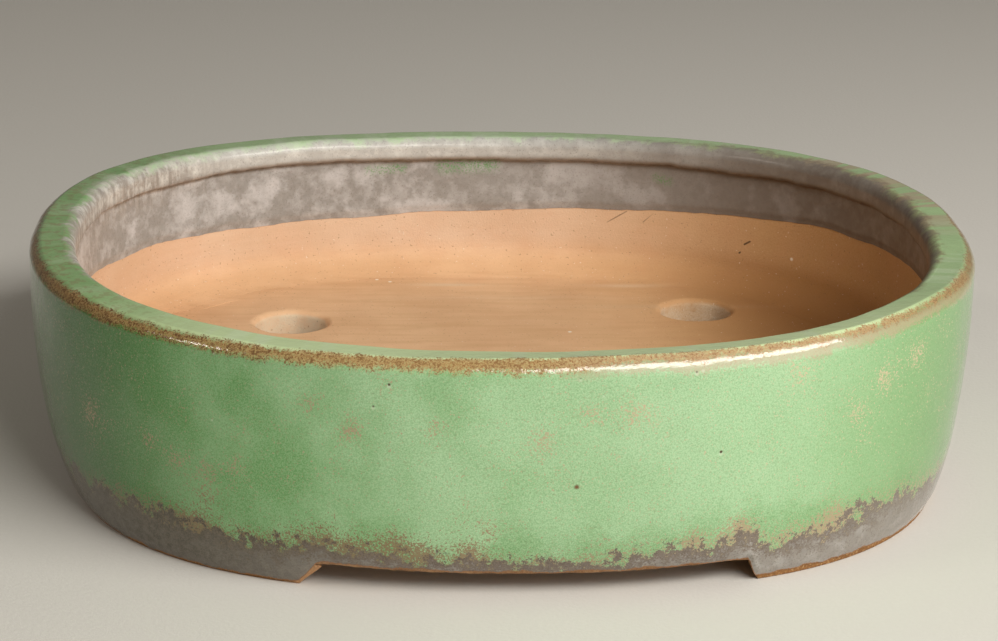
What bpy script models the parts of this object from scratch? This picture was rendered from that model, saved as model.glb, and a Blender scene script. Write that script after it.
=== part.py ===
"""Oval bonsai pot, glazed stoneware, about 300 x 250 x 77 mm.

The pot stands on z = 0 with its long way along X and its front towards -Y.
It is built as a potter builds it: an oval wall, a floor slab inside it, a coil
pressed into the seam between them, a lip rolled on inside the rim, two feet
under the ends, and the glaze that was poured over the clay.

Profiles are lists of (inset, height). Inset is how far a point lies inside the
pot's widest outline, so a profile reads as half of the pot's cross section.
"""

import math

import bmesh
import bpy
import numpy as np

# Outline seen from above, and heights
LENGTH = 0.300
DEPTH = 0.250
OUTLINE_POWER = 2.31
RIM_HEIGHT = 0.0754
RIM_RISE = 0.0016

# Side wall
WALL_THICKNESS = 0.0090
WIDEST_HEIGHT = 0.0720
BASE_INSET = 0.0080
QUARTER_FULLNESS = 0.0020
END_TUCK = 0.0026
BASE_SHIFT = 0.0012
FLARE_POWER = 3.1
SHOULDER_RADIUS = 0.0030

# Lip rolled on inside the rim
LIP_REACH = 0.0035
LIP_DEPTH = 0.0078
LIP_ROUND = 0.0028
LIP_UNDERCUT = 0.0014

# Floor slab, its drain holes, and the coil in the seam
FLOOR_TOP = 0.0240
FLOOR_THICKNESS = 0.0110
HOLE_RADIUS = 0.0115
HOLE_SOFT_EDGE = 0.0022
LEFT_HOLE_X = 0.0690
LEFT_HOLE_Y = 0.0545
RIGHT_HOLE_X = 0.0727
RIGHT_HOLE_Y = 0.0672
COIL_RADIUS = 0.0085
COIL_EDGE = 0.0006

# Feet, and the cut between them
FOOT_HEIGHT = 0.0075
FOOT_WIDTH = 0.0085
FOOT_EDGE_RADIUS = 0.0008
CUT_HALF_SPAN = 0.0670
CUT_SHIFT = 0.0035
LEFT_CUT_SLOPE = 0.0060
RIGHT_CUT_SLOPE = 0.0030

# Glaze coat
GLAZE_THICKNESS = 0.0006
GLAZE_FOOT_LINE = 0.0110
INNER_GLAZE_LINE = 0.0465

# Clearance between pieces that touch
GAP = 0.0003

# Fineness of the curves
STATIONS = 76
OUTSIDE_STEPS = 6
INSIDE_STEPS = 3
ROUND_STEPS = 3
UNDERCUT_STEPS = 2
COVE_STEPS = 5
HOLE_STEPS = 24
CUT_OVERRUN = 0.0200

# The clay lies this far inside the glazed surface
COAT = GLAZE_THICKNESS + GAP
CLAY_TOP = RIM_HEIGHT - COAT
LIP_BOTTOM = RIM_HEIGHT - LIP_DEPTH
FLOOR_BOTTOM = FLOOR_TOP - FLOOR_THICKNESS

COLOURS = {
    "body_wall": ("#c39a72", 0.85),
    "floor_slab": ("#c6996e", 0.88),
    "seam_coil": ("#c9a078", 0.88),
    "rim_lip": ("#b99372", 0.80),
    "foot_left": ("#8f7150", 0.80),
    "foot_right": ("#93764f", 0.80),
    "outer_glaze": ("#82b271", 0.18),
    "inner_glaze": ("#968a7f", 0.35),
}


def linear_colour(code):
    """Turn an sRGB hex code into linear red, green, blue and alpha."""
    channels = [int(code[i:i + 2], 16) / 255 for i in (1, 3, 5)]
    linear = [c / 12.92 if c <= 0.04045 else ((c + 0.055) / 1.055) ** 2.4 for c in channels]
    return (*linear, 1.0)


def make_material(name):
    """A plain ceramic material for the piece of that name."""
    code, roughness = COLOURS[name]
    material = bpy.data.materials.new(name + "_ceramic")
    material.use_nodes = True
    shader = material.node_tree.nodes["Principled BSDF"]
    shader.inputs["Base Color"].default_value = linear_colour(code)
    shader.inputs["Roughness"].default_value = roughness
    shader.inputs["Metallic"].default_value = 0.0
    material.diffuse_color = linear_colour(code)
    return material


def new_collection(name):
    """A collection linked to the scene."""
    collection = bpy.data.collections.new(name)
    bpy.context.scene.collection.children.link(collection)
    return collection


def oval(inset=0.0, count=STATIONS):
    """Points of the oval outline, evenly spaced along it and moved inwards by inset.

    The outline is |x/a|^n + |y/b|^n = 1, a shape between an ellipse and a
    rounded rectangle. Each point moves along the bisector of its neighbours.
    """
    turn = np.linspace(0.0, 2.0 * math.pi, 4001)
    cosine, sine = np.cos(turn), np.sin(turn)
    x = LENGTH / 2 * np.sign(cosine) * np.abs(cosine) ** (2 / OUTLINE_POWER)
    y = DEPTH / 2 * np.sign(sine) * np.abs(sine) ** (2 / OUTLINE_POWER)
    length = np.concatenate(([0.0], np.cumsum(np.hypot(np.diff(x), np.diff(y)))))
    wanted = np.arange(count) * length[-1] / count
    points = np.stack([np.interp(wanted, length, x), np.interp(wanted, length, y)], axis=1)
    forward = np.roll(points, -1, axis=0) - points
    forward /= np.linalg.norm(forward, axis=1)[:, None]
    tangent = forward + np.roll(forward, 1, axis=0)
    tangent /= np.linalg.norm(tangent, axis=1)[:, None]
    inwards = np.stack([-tangent[:, 1], tangent[:, 0]], axis=1)
    return points + inset * inwards


def flare(z):
    """How far the side leans in at height z, below its widest height."""
    drop = np.maximum(0.0, (WIDEST_HEIGHT - z) / WIDEST_HEIGHT)
    return BASE_INSET * drop ** FLARE_POWER


def arc(centre, radius, start, end, steps=ROUND_STEPS):
    """Points of an arc in the profile plane, from start to end in degrees."""
    angles = np.radians(np.linspace(start, end, steps + 1))
    return [(centre[0] + radius * math.cos(a), centre[1] + radius * math.sin(a)) for a in angles]


def outer_line(offset, bottom):
    """The outside of the clay from a bottom height up over the shoulder.

    Offset moves the line outwards, so the glaze follows the clay.
    """
    shoulder = (COAT + SHOULDER_RADIUS, CLAY_TOP - SHOULDER_RADIUS)
    rise = np.linspace(0.0, 1.0, OUTSIDE_STEPS + 1)[:-1]
    heights = bottom + (shoulder[1] - bottom) * rise
    side = [(COAT - offset + flare(z), z) for z in heights]
    return side + arc(shoulder, SHOULDER_RADIUS + offset, 180, 90)


def wall_inside(z):
    """Inset of the wall's inner face at height z."""
    return COAT + WALL_THICKNESS + flare(z)


def lip_line(offset):
    """The lip from the crown of the rim, over its round and under its lower edge.

    Offset moves the line off the clay, so the glaze follows the lip.
    """
    face = wall_inside(CLAY_TOP) + LIP_REACH
    top = (face - LIP_ROUND, CLAY_TOP - LIP_ROUND)
    under = (face - LIP_UNDERCUT, LIP_BOTTOM + LIP_UNDERCUT)
    line = arc(top, LIP_ROUND + offset, 90, 0)
    return line + arc(under, LIP_UNDERCUT + offset, 0, -90, UNDERCUT_STEPS)


def inner_line(offset, bottom):
    """The inside of the clay: the lip, then the wall down to a bottom height."""
    heights = np.linspace(LIP_BOTTOM - offset, bottom, INSIDE_STEPS)
    return lip_line(offset) + [(wall_inside(z) + offset, z) for z in heights]


def closed_curve(name, points, dimensions):
    """A closed curve object of straight runs through the points."""
    curve = bpy.data.curves.new(name, "CURVE")
    curve.dimensions = dimensions
    spline = curve.splines.new("POLY")
    spline.points.add(len(points) - 1)
    for target, point in zip(spline.points, points):
        target.co = (point[0], point[1], 0.0, 1.0)
    spline.use_cyclic_u = True
    shape = bpy.data.objects.new(name, curve)
    bpy.context.scene.collection.objects.link(shape)
    return shape


def curve_to_mesh(shape, name, collection):
    """Replace a curve by a welded mesh object whose faces point out."""
    bpy.context.view_layer.update()
    graph = bpy.context.evaluated_depsgraph_get()
    mesh = bpy.data.meshes.new_from_object(shape.evaluated_get(graph))
    mesh.name = name
    matrix = shape.matrix_world.copy()
    bpy.data.objects.remove(shape, do_unlink=True)
    body = bmesh.new()
    body.from_mesh(mesh)
    bmesh.ops.remove_doubles(body, verts=body.verts, dist=0.000001)
    bmesh.ops.recalc_face_normals(body, faces=body.faces)
    body.to_mesh(mesh)
    body.free()
    piece = bpy.data.objects.new(name, mesh)
    piece.matrix_world = matrix
    collection.objects.link(piece)
    return piece


def sweep_round(name, profile, collection):
    """Carry a closed profile of (inset, height) round the oval."""
    path = closed_curve(name + "_path", oval(), "3D")
    section = closed_curve(name + "_section", [(-inset, z) for inset, z in profile], "2D")
    path.data.twist_mode = "Z_UP"
    path.data.bevel_mode = "OBJECT"
    path.data.bevel_object = section
    ring = curve_to_mesh(path, name, collection)
    bpy.data.objects.remove(section, do_unlink=True)
    return ring


def extruded(name, outline, thickness, collection):
    """A flat closed outline filled and given a thickness about its own plane."""
    plate = closed_curve(name, outline, "2D")
    plate.data.fill_mode = "BOTH"
    plate.data.extrude = thickness / 2
    return curve_to_mesh(plate, name, collection)


def as_cutter(shape):
    """Show a cutter as wire and keep it out of renders."""
    shape.display_type = "WIRE"
    shape.hide_render = True
    return shape


def cut_away(piece, cutter):
    """Subtract a cutter from a piece."""
    cut = piece.modifiers.new("cut_" + cutter.name, "BOOLEAN")
    cut.operation = "DIFFERENCE"
    cut.use_hole_tolerant = True
    cut.object = cutter


def finish(piece):
    """Shade a piece smooth between its sharp edges and give it its material."""
    piece.data.shade_smooth()
    piece.data.set_sharp_from_angle(angle=math.radians(35))
    piece.data.materials.clear()
    piece.data.materials.append(make_material(piece.name))


def get_places(piece):
    """The places of a piece's vertices, one row each."""
    places = np.empty(len(piece.data.vertices) * 3)
    piece.data.vertices.foreach_get("co", places)
    return places.reshape(-1, 3)


def set_places(piece, places):
    """Move a piece's vertices to new places."""
    piece.data.vertices.foreach_set("co", places.ravel())
    piece.data.update()


def square_base(piece):
    """Give a piece the pot's base, which is squarer than the rim and off its middle.

    The four quarters stand out by QUARTER_FULLNESS, the two ends tuck in by
    END_TUCK and all of it sits BASE_SHIFT to the right. These are the moves at
    the base, and they fade upwards as the flare does. The quarters' move goes
    with 4uv and the ends' with u^2, where u and v are (x/a)^2 and (y/b)^2
    scaled to add up to one.
    """
    places = get_places(piece)
    x, y = 2 * places[:, 0] / LENGTH, 2 * places[:, 1] / DEPTH
    share = x ** 2 / (x ** 2 + y ** 2)
    push = QUARTER_FULLNESS * 4 * share * (1 - share) - END_TUCK * share ** 2
    outwards = np.stack([np.sign(x) * np.abs(x) ** (OUTLINE_POWER - 1) / LENGTH,
                         np.sign(y) * np.abs(y) ** (OUTLINE_POWER - 1) / DEPTH], axis=1)
    outwards /= np.linalg.norm(outwards, axis=1)[:, None]
    move = push[:, None] * outwards + np.array([BASE_SHIFT, 0.0])
    fade = flare(places[:, 2] + piece.location.z) / BASE_INSET
    places[:, :2] += fade[:, None] * move
    set_places(piece, places)


def warp_rim(piece):
    """Lift the ends of the rim and let its long sides sink, as firing has done.

    The move is RIM_RISE times (x/a)^2 - (y/b)^2 and fades with the square of
    the height, so the base stays flat.
    """
    places = get_places(piece)
    saddle = (2 * places[:, 0] / LENGTH) ** 2 - (2 * places[:, 1] / DEPTH) ** 2
    places[:, 2] += RIM_RISE * saddle * (places[:, 2] / RIM_HEIGHT) ** 2
    set_places(piece, places)


def build_wall(parts):
    """The oval side wall, thicker below the floor so that the slab's edge is square."""
    seat = wall_inside(FLOOR_BOTTOM)
    outside = outer_line(0.0, FOOT_HEIGHT)
    heights = (CLAY_TOP, INNER_GLAZE_LINE, FLOOR_TOP + GAP + COIL_RADIUS, FLOOR_TOP)
    inside = [(wall_inside(z), z) for z in heights]
    foot = [(seat, FLOOR_TOP), (seat, FOOT_HEIGHT)]
    wall = sweep_round("body_wall", outside + inside + foot, parts)
    square_base(wall)
    warp_rim(wall)
    return wall


def build_lip(parts):
    """The roll of clay on the inner side of the rim, with its undercut lower edge."""
    back = wall_inside(LIP_BOTTOM) + GAP
    profile = [(back, CLAY_TOP)] + lip_line(0.0) + [(back, LIP_BOTTOM)]
    lip = sweep_round("rim_lip", profile, parts)
    warp_rim(lip)
    return lip


def build_floor(parts, cutters):
    """The floor slab with four drain holes, their edges softened with a sponge."""
    seat = wall_inside(FLOOR_BOTTOM) + GAP
    slab = extruded("floor_slab", oval(seat), FLOOR_THICKNESS, parts)
    slab.location.z = (FLOOR_TOP + FLOOR_BOTTOM) / 2
    square_base(slab)
    back_left = (-LEFT_HOLE_X, LEFT_HOLE_Y)
    back_right = (RIGHT_HOLE_X, RIGHT_HOLE_Y)
    front_left = (-RIGHT_HOLE_X, -RIGHT_HOLE_Y)
    front_right = (LEFT_HOLE_X, -LEFT_HOLE_Y)
    for number, (x, y) in enumerate((back_left, back_right, front_left, front_right), 1):
        cutter = hole_cutter("drain_hole_%d" % number, cutters)
        cutter.location = (x, y, FLOOR_TOP)
        cut_away(slab, cutter)
    return slab


def hole_cutter(name, cutters):
    """A turned cutter: a bore that flares with a quarter round at both faces."""
    soft = HOLE_SOFT_EDGE
    wide = HOLE_RADIUS + soft
    top = arc((wide, -soft), soft, 90, 180)
    bottom = arc((wide, -FLOOR_THICKNESS + soft), soft, 180, 270)
    profile = [(0.0, CUT_OVERRUN), (wide, CUT_OVERRUN)] + top + bottom
    profile += [(wide, -FLOOR_THICKNESS - CUT_OVERRUN), (0.0, -FLOOR_THICKNESS - CUT_OVERRUN)]
    mesh = bpy.data.meshes.new(name)
    edges = [(i, i + 1) for i in range(len(profile) - 1)]
    mesh.from_pydata([(x, 0.0, z) for x, z in profile], edges, [])
    cutter = bpy.data.objects.new(name, mesh)
    cutters.objects.link(cutter)
    turn = cutter.modifiers.new("turn", "SCREW")
    turn.steps = HOLE_STEPS
    turn.render_steps = HOLE_STEPS
    turn.use_merge_vertices = True
    turn.merge_threshold = 0.00001
    return as_cutter(cutter)


def build_coil(parts):
    """The cove-shaped coil that fills the seam between the wall and the floor."""
    bottom = FLOOR_TOP + GAP
    corner = wall_inside(FLOOR_TOP) + GAP
    top = bottom + COIL_RADIUS
    centre = (corner + COIL_RADIUS, top)
    wall_side = [(wall_inside(z) + GAP, z) for z in np.linspace(bottom, top, 4)]
    cove = arc(centre, COIL_RADIUS - COIL_EDGE, 180, 270, COVE_STEPS)
    profile = wall_side + cove + [(corner + COIL_RADIUS, bottom)]
    coil = sweep_round("seam_coil", profile, parts)
    square_base(coil)
    return coil


def build_feet(parts, cutters):
    """Two feet, one round each end, left by the long cuts in front and behind."""
    top = FOOT_HEIGHT - GAP
    heights = np.linspace(FOOT_EDGE_RADIUS, top, 4)
    outside = [(COAT + flare(z), z) for z in heights]
    edge_centre = (COAT + flare(FOOT_EDGE_RADIUS) + FOOT_EDGE_RADIUS, FOOT_EDGE_RADIUS)
    edge = arc(edge_centre, FOOT_EDGE_RADIUS, 270, 180, 2)[:-1]
    inside = [(COAT + FOOT_WIDTH + flare(z), z) for z in (top, top / 2, 0.0)]
    feet = []
    for name, side, slope in (("foot_left", -1, LEFT_CUT_SLOPE), ("foot_right", 1, RIGHT_CUT_SLOPE)):
        foot = sweep_round(name, edge + outside + inside, parts)
        square_base(foot)
        cutter = foot_cutter(name + "_cut", side, slope, cutters)
        cut_away(foot, cutter)
        feet.append(foot)
    return feet


def foot_cutter(name, side, slope, cutters):
    """A block that removes everything from one foot's sloping end to the far end of the pot."""
    corner = CUT_SHIFT + side * CUT_HALF_SPAN
    far = -side * (LENGTH / 2 + CUT_OVERRUN)
    run = slope / FOOT_HEIGHT
    low, high = -CUT_OVERRUN, FOOT_HEIGHT + CUT_OVERRUN
    outline = [
        (corner - side * run * low, low),
        (corner - side * run * high, high),
        (far, high),
        (far, low),
    ]
    block = extruded(name, outline, DEPTH + 2 * CUT_OVERRUN, cutters)
    block.rotation_euler.x = math.radians(90)
    return as_cutter(block)


def build_glaze(parts):
    """The glaze: green over the outside and the crown, grey over the lip and the upper inside."""
    outside = outer_line(COAT, GLAZE_FOOT_LINE)
    outside_back = outer_line(GAP, GLAZE_FOOT_LINE)
    meeting = wall_inside(CLAY_TOP) + LIP_REACH - LIP_ROUND - GAP
    crown = [(meeting, CLAY_TOP + COAT), (meeting, CLAY_TOP + GAP)]
    green = sweep_round("outer_glaze", outside + crown + outside_back[::-1], parts)
    inside = inner_line(COAT, INNER_GLAZE_LINE)
    inside_back = inner_line(GAP, INNER_GLAZE_LINE)
    grey = sweep_round("inner_glaze", inside + inside_back[::-1], parts)
    for coat in (green, grey):
        square_base(coat)
        warp_rim(coat)
    return [green, grey]


def main():
    """Clear the scene and build the pot."""
    for old in list(bpy.data.objects):
        bpy.data.objects.remove(old, do_unlink=True)
    parts = new_collection("oval_bonsai_pot")
    cutters = new_collection("cutters")
    pieces = [build_wall(parts), build_lip(parts), build_floor(parts, cutters), build_coil(parts)]
    pieces += build_feet(parts, cutters)
    pieces += build_glaze(parts)
    for piece in pieces:
        finish(piece)


main()
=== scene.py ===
"""Looks of an oval bonsai pot in glazed stoneware, 300 x 250 x 77 mm.

Nearly every piece is a cross section carried round the oval, as a potter's wall
is: a surface of two parameters, the station along the outline and the place in
the profile. A profile is an array of (inset, height) in metres, where inset is
how far a point lies inside the widest outline. The glaze is its own skin over
the clay, so its ragged edges are real.
"""

import logging
import math
from collections.abc import Sequence
from dataclasses import dataclass, field
from enum import Enum

import bmesh
import bpy
import numpy as np
from mathutils import Matrix, Vector


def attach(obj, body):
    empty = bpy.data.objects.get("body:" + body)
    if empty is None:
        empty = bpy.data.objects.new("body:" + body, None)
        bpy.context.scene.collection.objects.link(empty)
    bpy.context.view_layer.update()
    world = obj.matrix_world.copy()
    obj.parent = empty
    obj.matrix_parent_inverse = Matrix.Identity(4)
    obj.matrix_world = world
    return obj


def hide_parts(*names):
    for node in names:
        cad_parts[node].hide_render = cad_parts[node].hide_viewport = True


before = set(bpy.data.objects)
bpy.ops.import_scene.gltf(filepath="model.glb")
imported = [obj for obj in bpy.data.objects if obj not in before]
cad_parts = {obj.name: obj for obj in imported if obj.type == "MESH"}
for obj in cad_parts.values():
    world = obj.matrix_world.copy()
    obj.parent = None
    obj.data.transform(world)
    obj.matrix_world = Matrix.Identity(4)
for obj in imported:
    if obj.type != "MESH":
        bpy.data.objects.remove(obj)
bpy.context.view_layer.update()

LOG = logging.getLogger("bonsai_pot")
MM = 0.001
TINY = 1e-9
BODY = "root"


class Slot(Enum):
    """The record's material slots."""

    BARE_CLAY = "bare_clay"
    FOOT_CLAY = "foot_clay"
    GREEN_GLAZE = "green_glaze"
    GREY_GLAZE = "grey_glaze"


class Side(Enum):
    """The two ends of the pot, as the sign of x."""

    LEFT = -1
    RIGHT = 1


# ---- Shape: the oval, the cross section and how they become meshes


@dataclass(frozen=True)
class Oval:
    """The outline seen from above, |x/a|^n + |y/b|^n = 1.

    Attributes:
        half_length: a, half the pot's length.
        half_depth: b, half the pot's depth.
        power: n, between an ellipse and a rounded rectangle.
    """

    half_length: float = 0.150
    half_depth: float = 0.125
    power: float = 2.31

    def trace(self, turn: np.ndarray) -> np.ndarray:
        """Points of the oval at the turn angles, x = a sgn(c)|c|^(2/n) and y alike."""
        cosine, sine = np.cos(turn), np.sin(turn)
        x = self.half_length * np.sign(cosine) * np.abs(cosine) ** (2 / self.power)
        y = self.half_depth * np.sign(sine) * np.abs(sine) ** (2 / self.power)
        return np.stack([x, y], axis=-1)

    def at(self, share: np.ndarray) -> tuple[np.ndarray, np.ndarray]:
        """Points and inward directions at shares of the way round.

        The inward direction is minus the gradient of |x/a|^n + |y/b|^n, made
        one long.

        Args:
            share: Parts of the perimeter, counted from the +X end towards +Y.

        Returns:
            Points and unit inward directions, each (count, 2).
        """
        turn = np.linspace(0.0, 2 * math.pi, 40001)
        steps = np.diff(self.trace(turn), axis=0)
        length = np.concatenate(([0.0], np.cumsum(np.hypot(steps[:, 0], steps[:, 1]))))
        points = self.trace(np.interp(np.mod(share, 1.0) * length[-1], length, turn))
        half = np.array([self.half_length, self.half_depth])
        slope = np.sign(points) * np.abs(points / half) ** (self.power - 1) / half
        return points, -slope / np.linalg.norm(slope, axis=-1, keepdims=True)


@dataclass(frozen=True)
class Section:
    """Sizes of the cross section, in metres, as in the solid model."""

    rim_height: float = 0.0754
    rim_rise: float = 0.0016
    coat: float = 0.0009
    wall: float = 0.0090
    widest_height: float = 0.0720
    base_inset: float = 0.0080
    quarter_fullness: float = 0.0020
    end_tuck: float = 0.0026
    base_shift: float = 0.0012
    flare_power: float = 3.1
    shoulder: float = 0.0039
    lip_reach: float = 0.0035
    lip_depth: float = 0.0078
    lip_round: float = 0.0037
    lip_fillet: float = 0.0012
    lip_fillet_left: float = 0.0024
    floor_top: float = 0.0240
    floor_thickness: float = 0.0110
    cove: float = 0.0085
    foot_height: float = 0.0075
    foot_width: float = 0.0085

    def lean(self, z: np.ndarray | float) -> np.ndarray:
        """How far the side leans in at height z, base_inset times (drop/widest)^power."""
        drop = np.clip((self.widest_height - z) / self.widest_height, 0.0, 1.0)
        return self.base_inset * drop**self.flare_power

    def clay_inside(self, z: np.ndarray | float) -> np.ndarray:
        """Inset of the wall's bare inner face at height z."""
        return self.coat + self.wall + self.lean(z)

    def face(self, z: np.ndarray, inset: np.ndarray | float) -> np.ndarray:
        """Profile of a face that leans as the side does, at the heights z and inset from it."""
        return np.stack([inset + self.lean(z), z], axis=-1)

    @property
    def floor_bottom(self) -> float:
        """Height of the slab's lower face."""
        return self.floor_top - self.floor_thickness

    @property
    def lip_face(self) -> float:
        """Inset of the glazed face of the lip."""
        return self.coat + self.wall + self.lip_reach + self.coat

    @property
    def lip_bottom(self) -> float:
        """Height of the glazed lower edge of the lip."""
        return self.rim_height - self.lip_depth - self.coat


@dataclass(frozen=True)
class FootEnds:
    """Where the two feet end.

    Attributes:
        left: The left foot's x at the ground and at the top of the cut.
        right: The same for the right foot.
        left_bare: How much of the left foot's end the glaze leaves bare.
        corner: How softly the glaze's edge turns at the corners.
    """

    left: tuple[float, float] = (-0.0635, -0.0575)
    right: tuple[float, float] = (0.0705, 0.0675)
    left_bare: float = 0.0016
    corner: float = 0.00045

    def x_at(self, side: Side, z: np.ndarray) -> np.ndarray:
        """The x of a foot's end face at height z, on a straight slope."""
        ground, top = self.left if side is Side.LEFT else self.right
        return ground + (top - ground) * z / SECTION.foot_height

    def lower_edge(self, x: np.ndarray, over_foot: np.ndarray, over_cut: np.ndarray) -> np.ndarray:
        """Height of the glaze's lower edge: low over a foot, high over the cut.

        Between the two it follows the sloping end of the foot, where the
        station's own x, which runs from low to high over the height, meets the
        end's x. The corners are rounded by a soft minimum and maximum.

        Args:
            x: The stations' x at the ground and at the top of the cut, (stations, 2).
            over_foot: Height on a foot.
            over_cut: Height over the cut.

        Returns:
            Height at each station.
        """
        low, high = x.T
        left = (low - self.left[0] + self.left_bare) / (self.left[1] - self.left[0] - high + low)
        right = (self.right[0] - low) / (self.right[0] - self.right[1] + high - low)
        slopes = np.clip(np.minimum(left, right) * SECTION.foot_height, -0.03, 0.04)
        under = -self.corner * np.logaddexp(-slopes / self.corner, -over_cut / self.corner)
        return self.corner * np.logaddexp(under / self.corner, over_foot / self.corner)


OVAL = Oval()
SECTION = Section()
FOOT_ENDS = FootEnds()


def smooth(value: np.ndarray, low: float, high: float) -> np.ndarray:
    """0 below low, 1 above high, and 3t^2 - 2t^3 between."""
    t = np.clip((value - low) / (high - low), 0.0, 1.0)
    return t * t * (3 - 2 * t)


def arc(centre: tuple[float, float], radius: float, start: float, end: float, steps: int) -> np.ndarray:
    """Points of an arc in the profile plane, from start to end in degrees."""
    angle = np.radians(np.linspace(start, end, steps + 1))
    return np.stack([centre[0] + radius * np.cos(angle), centre[1] + radius * np.sin(angle)], axis=-1)


def line(start: Sequence[float], end: Sequence[float], steps: int) -> np.ndarray:
    """Evenly spaced points on a straight line, both ends included."""
    return np.linspace(np.array(start, float), np.array(end, float), steps + 1)


def strand(*runs: np.ndarray) -> np.ndarray:
    """Runs of points joined end to end, with repeated points dropped."""
    points = np.concatenate(runs)
    keep = np.concatenate(([True], np.hypot(*np.diff(points, axis=0).T) > 1e-7))
    return points[keep]


def swell(points: np.ndarray, wavelength: float, seed: int, waves: int = 14) -> np.ndarray:
    """A smooth random field: the sum of plane waves in seeded directions.

    Each wave is sin(k.p + phase) with |k| near 2 pi / wavelength, and the sum
    is scaled to about one standard deviation.

    Args:
        points: Places, (..., 3), in metres.
        wavelength: Typical distance between crests, in metres.
        seed: Seed of the directions and phases.
        waves: Number of waves.

    Returns:
        The field's value at each place.
    """
    chance = np.random.default_rng(seed)
    heading = chance.normal(size=(waves, 3))
    heading /= np.linalg.norm(heading, axis=1, keepdims=True)
    number = 2 * math.pi / (wavelength * chance.uniform(0.7, 1.5, waves))
    phase = chance.uniform(0, 2 * math.pi, waves)
    total = np.zeros(points.shape[:-1])
    for k, n, shift in zip(heading, number, phase):
        total += np.sin(points @ (k * n) + shift)
    return total * math.sqrt(2 / waves)


def carried(share: np.ndarray, profile: np.ndarray) -> np.ndarray:
    """Carry a profile of (inset, height) round the oval.

    Each point is outline + inset * inwards in plan, at its own height.

    Args:
        share: Stations, as parts of the way round, or a share for each point.
        profile: (rows, 2), or (stations, rows, 2) where it changes on its way.

    Returns:
        A grid of points, (stations, rows, 3).
    """
    outline, inwards = OVAL.at(share if share.ndim == 2 else share[:, None])
    plan = outline + profile[..., :1] * inwards
    height = np.broadcast_to(profile[..., 1:], (*plan.shape[:2], 1))
    return squared(np.concatenate([plan, height], axis=-1))


def squared(grid: np.ndarray) -> np.ndarray:
    """The base's own outline, squarer than the rim's and a little to the right.

    With s = x^2 / (x^2 + y^2) in half lengths, the move at the base is
    4 fullness s (1 - s) - tuck s^2 outwards, and the shift along x. It fades
    upwards as lean does.
    """
    half = np.array([OVAL.half_length, OVAL.half_depth])
    place = grid[..., :2] / half
    share = place[..., :1] ** 2 / np.maximum((place**2).sum(axis=-1, keepdims=True), TINY)
    push = SECTION.quarter_fullness * 4 * share * (1 - share) - SECTION.end_tuck * share**2
    slope = np.sign(place) * np.abs(place) ** (OVAL.power - 1) / half
    outwards = slope / np.maximum(np.linalg.norm(slope, axis=-1, keepdims=True), TINY)
    fade = SECTION.lean(grid[..., 2:]) / SECTION.base_inset
    moved = grid[..., :2] + fade * (push * outwards + [SECTION.base_shift, 0.0])
    return np.concatenate([moved, grid[..., 2:]], axis=-1)


def raised(grid: np.ndarray, lift: np.ndarray) -> np.ndarray:
    """The grid with each point moved up by its own lift."""
    return np.concatenate([grid[..., :2], grid[..., 2:] + lift[..., None]], axis=-1)


def cut_bow(x: np.ndarray) -> np.ndarray:
    """How the hand-cut arch between the feet departs from a straight line.

    It hangs 0.35 mm low at the middle and rises 0.45 mm near the feet, with
    small nicks; over the feet it is nothing.
    """
    middle, reach = 0.0035, 0.052
    away = np.abs(x - middle)
    nicks = 0.10 * np.sin(x * 900.0 + 3 * np.sin(x * 170.0)) + 0.07 * np.sin(x * 2300.0 + 1.0)
    bow = 0.80 * np.minimum(away / reach, 1.0) ** 2 - 0.35
    return (bow + nicks) * MM * smooth(away, 0.064, 0.060)


def fired(grid: np.ndarray) -> np.ndarray:
    """Warp of the rim in the kiln: rise * ((x/a)^2 - (y/b)^2) * (z/rim)^2 upwards."""
    saddle = (grid[..., 0] / OVAL.half_length) ** 2 - (grid[..., 1] / OVAL.half_depth) ** 2
    return raised(grid, SECTION.rim_rise * saddle * (grid[..., 2] / SECTION.rim_height) ** 2)


def pressed(share: np.ndarray, grid: np.ndarray) -> np.ndarray:
    """The unevenness of a hand-built wall: slow swells that only press inwards.

    The press grows from nothing at the base to its full depth above 35 mm, and
    on the rim it also lowers the clay a little.
    """
    slow = 0.26 * MM * (1 + np.tanh(0.7 * swell(grid, 0.060, 11)))
    short = 0.07 * MM * (1 + np.tanh(0.7 * swell(grid, 0.016, 12)))
    sink = 0.16 * MM * (1 + np.tanh(0.8 * swell(grid, 0.026, 13)))
    depth = (slow + short) * smooth(grid[..., 2], 0.012, 0.035)
    plan = grid[..., :2] + depth[..., None] * OVAL.at(share)[1][:, None]
    height = grid[..., 2] - sink * smooth(grid[..., 2], 0.064, 0.0745)
    return np.concatenate([plan, height[..., None]], axis=-1)


def bearing(plan: np.ndarray) -> np.ndarray:
    """Degrees from the front towards the right, for points whose first two parts are x and y."""
    return np.degrees(np.arctan2(plan[..., 0], -plan[..., 1]))


def span(value: np.ndarray, start: float, full: float, fading: float, end: float) -> np.ndarray:
    """0 up to start, 1 from full to fading and 0 again from end, smooth between them."""
    return smooth(value, start, full) * smooth(-value, -end, -fading)


def tilted(grid: np.ndarray, inset: np.ndarray) -> np.ndarray:
    """The slope of the crown along the front, most at the front right, level elsewhere.

    Its outer edge stands 1.3 mm high there and its inner edge 0.5 mm low; the
    move grows from nothing at 60 mm height to its full amount at 73.5 mm.
    """
    outer, inner, edge, width = 1.3 * MM, -0.5 * MM, 1 * MM, 12 * MM
    amount = span(bearing(grid), -45.0, 15.0, 55.0, 85.0) * smooth(grid[..., 2], 0.0600, 0.0735)
    across = outer + (inner - outer) * np.clip((inset - edge) / width, 0.0, 1.0)
    return raised(grid, amount * across)


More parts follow.
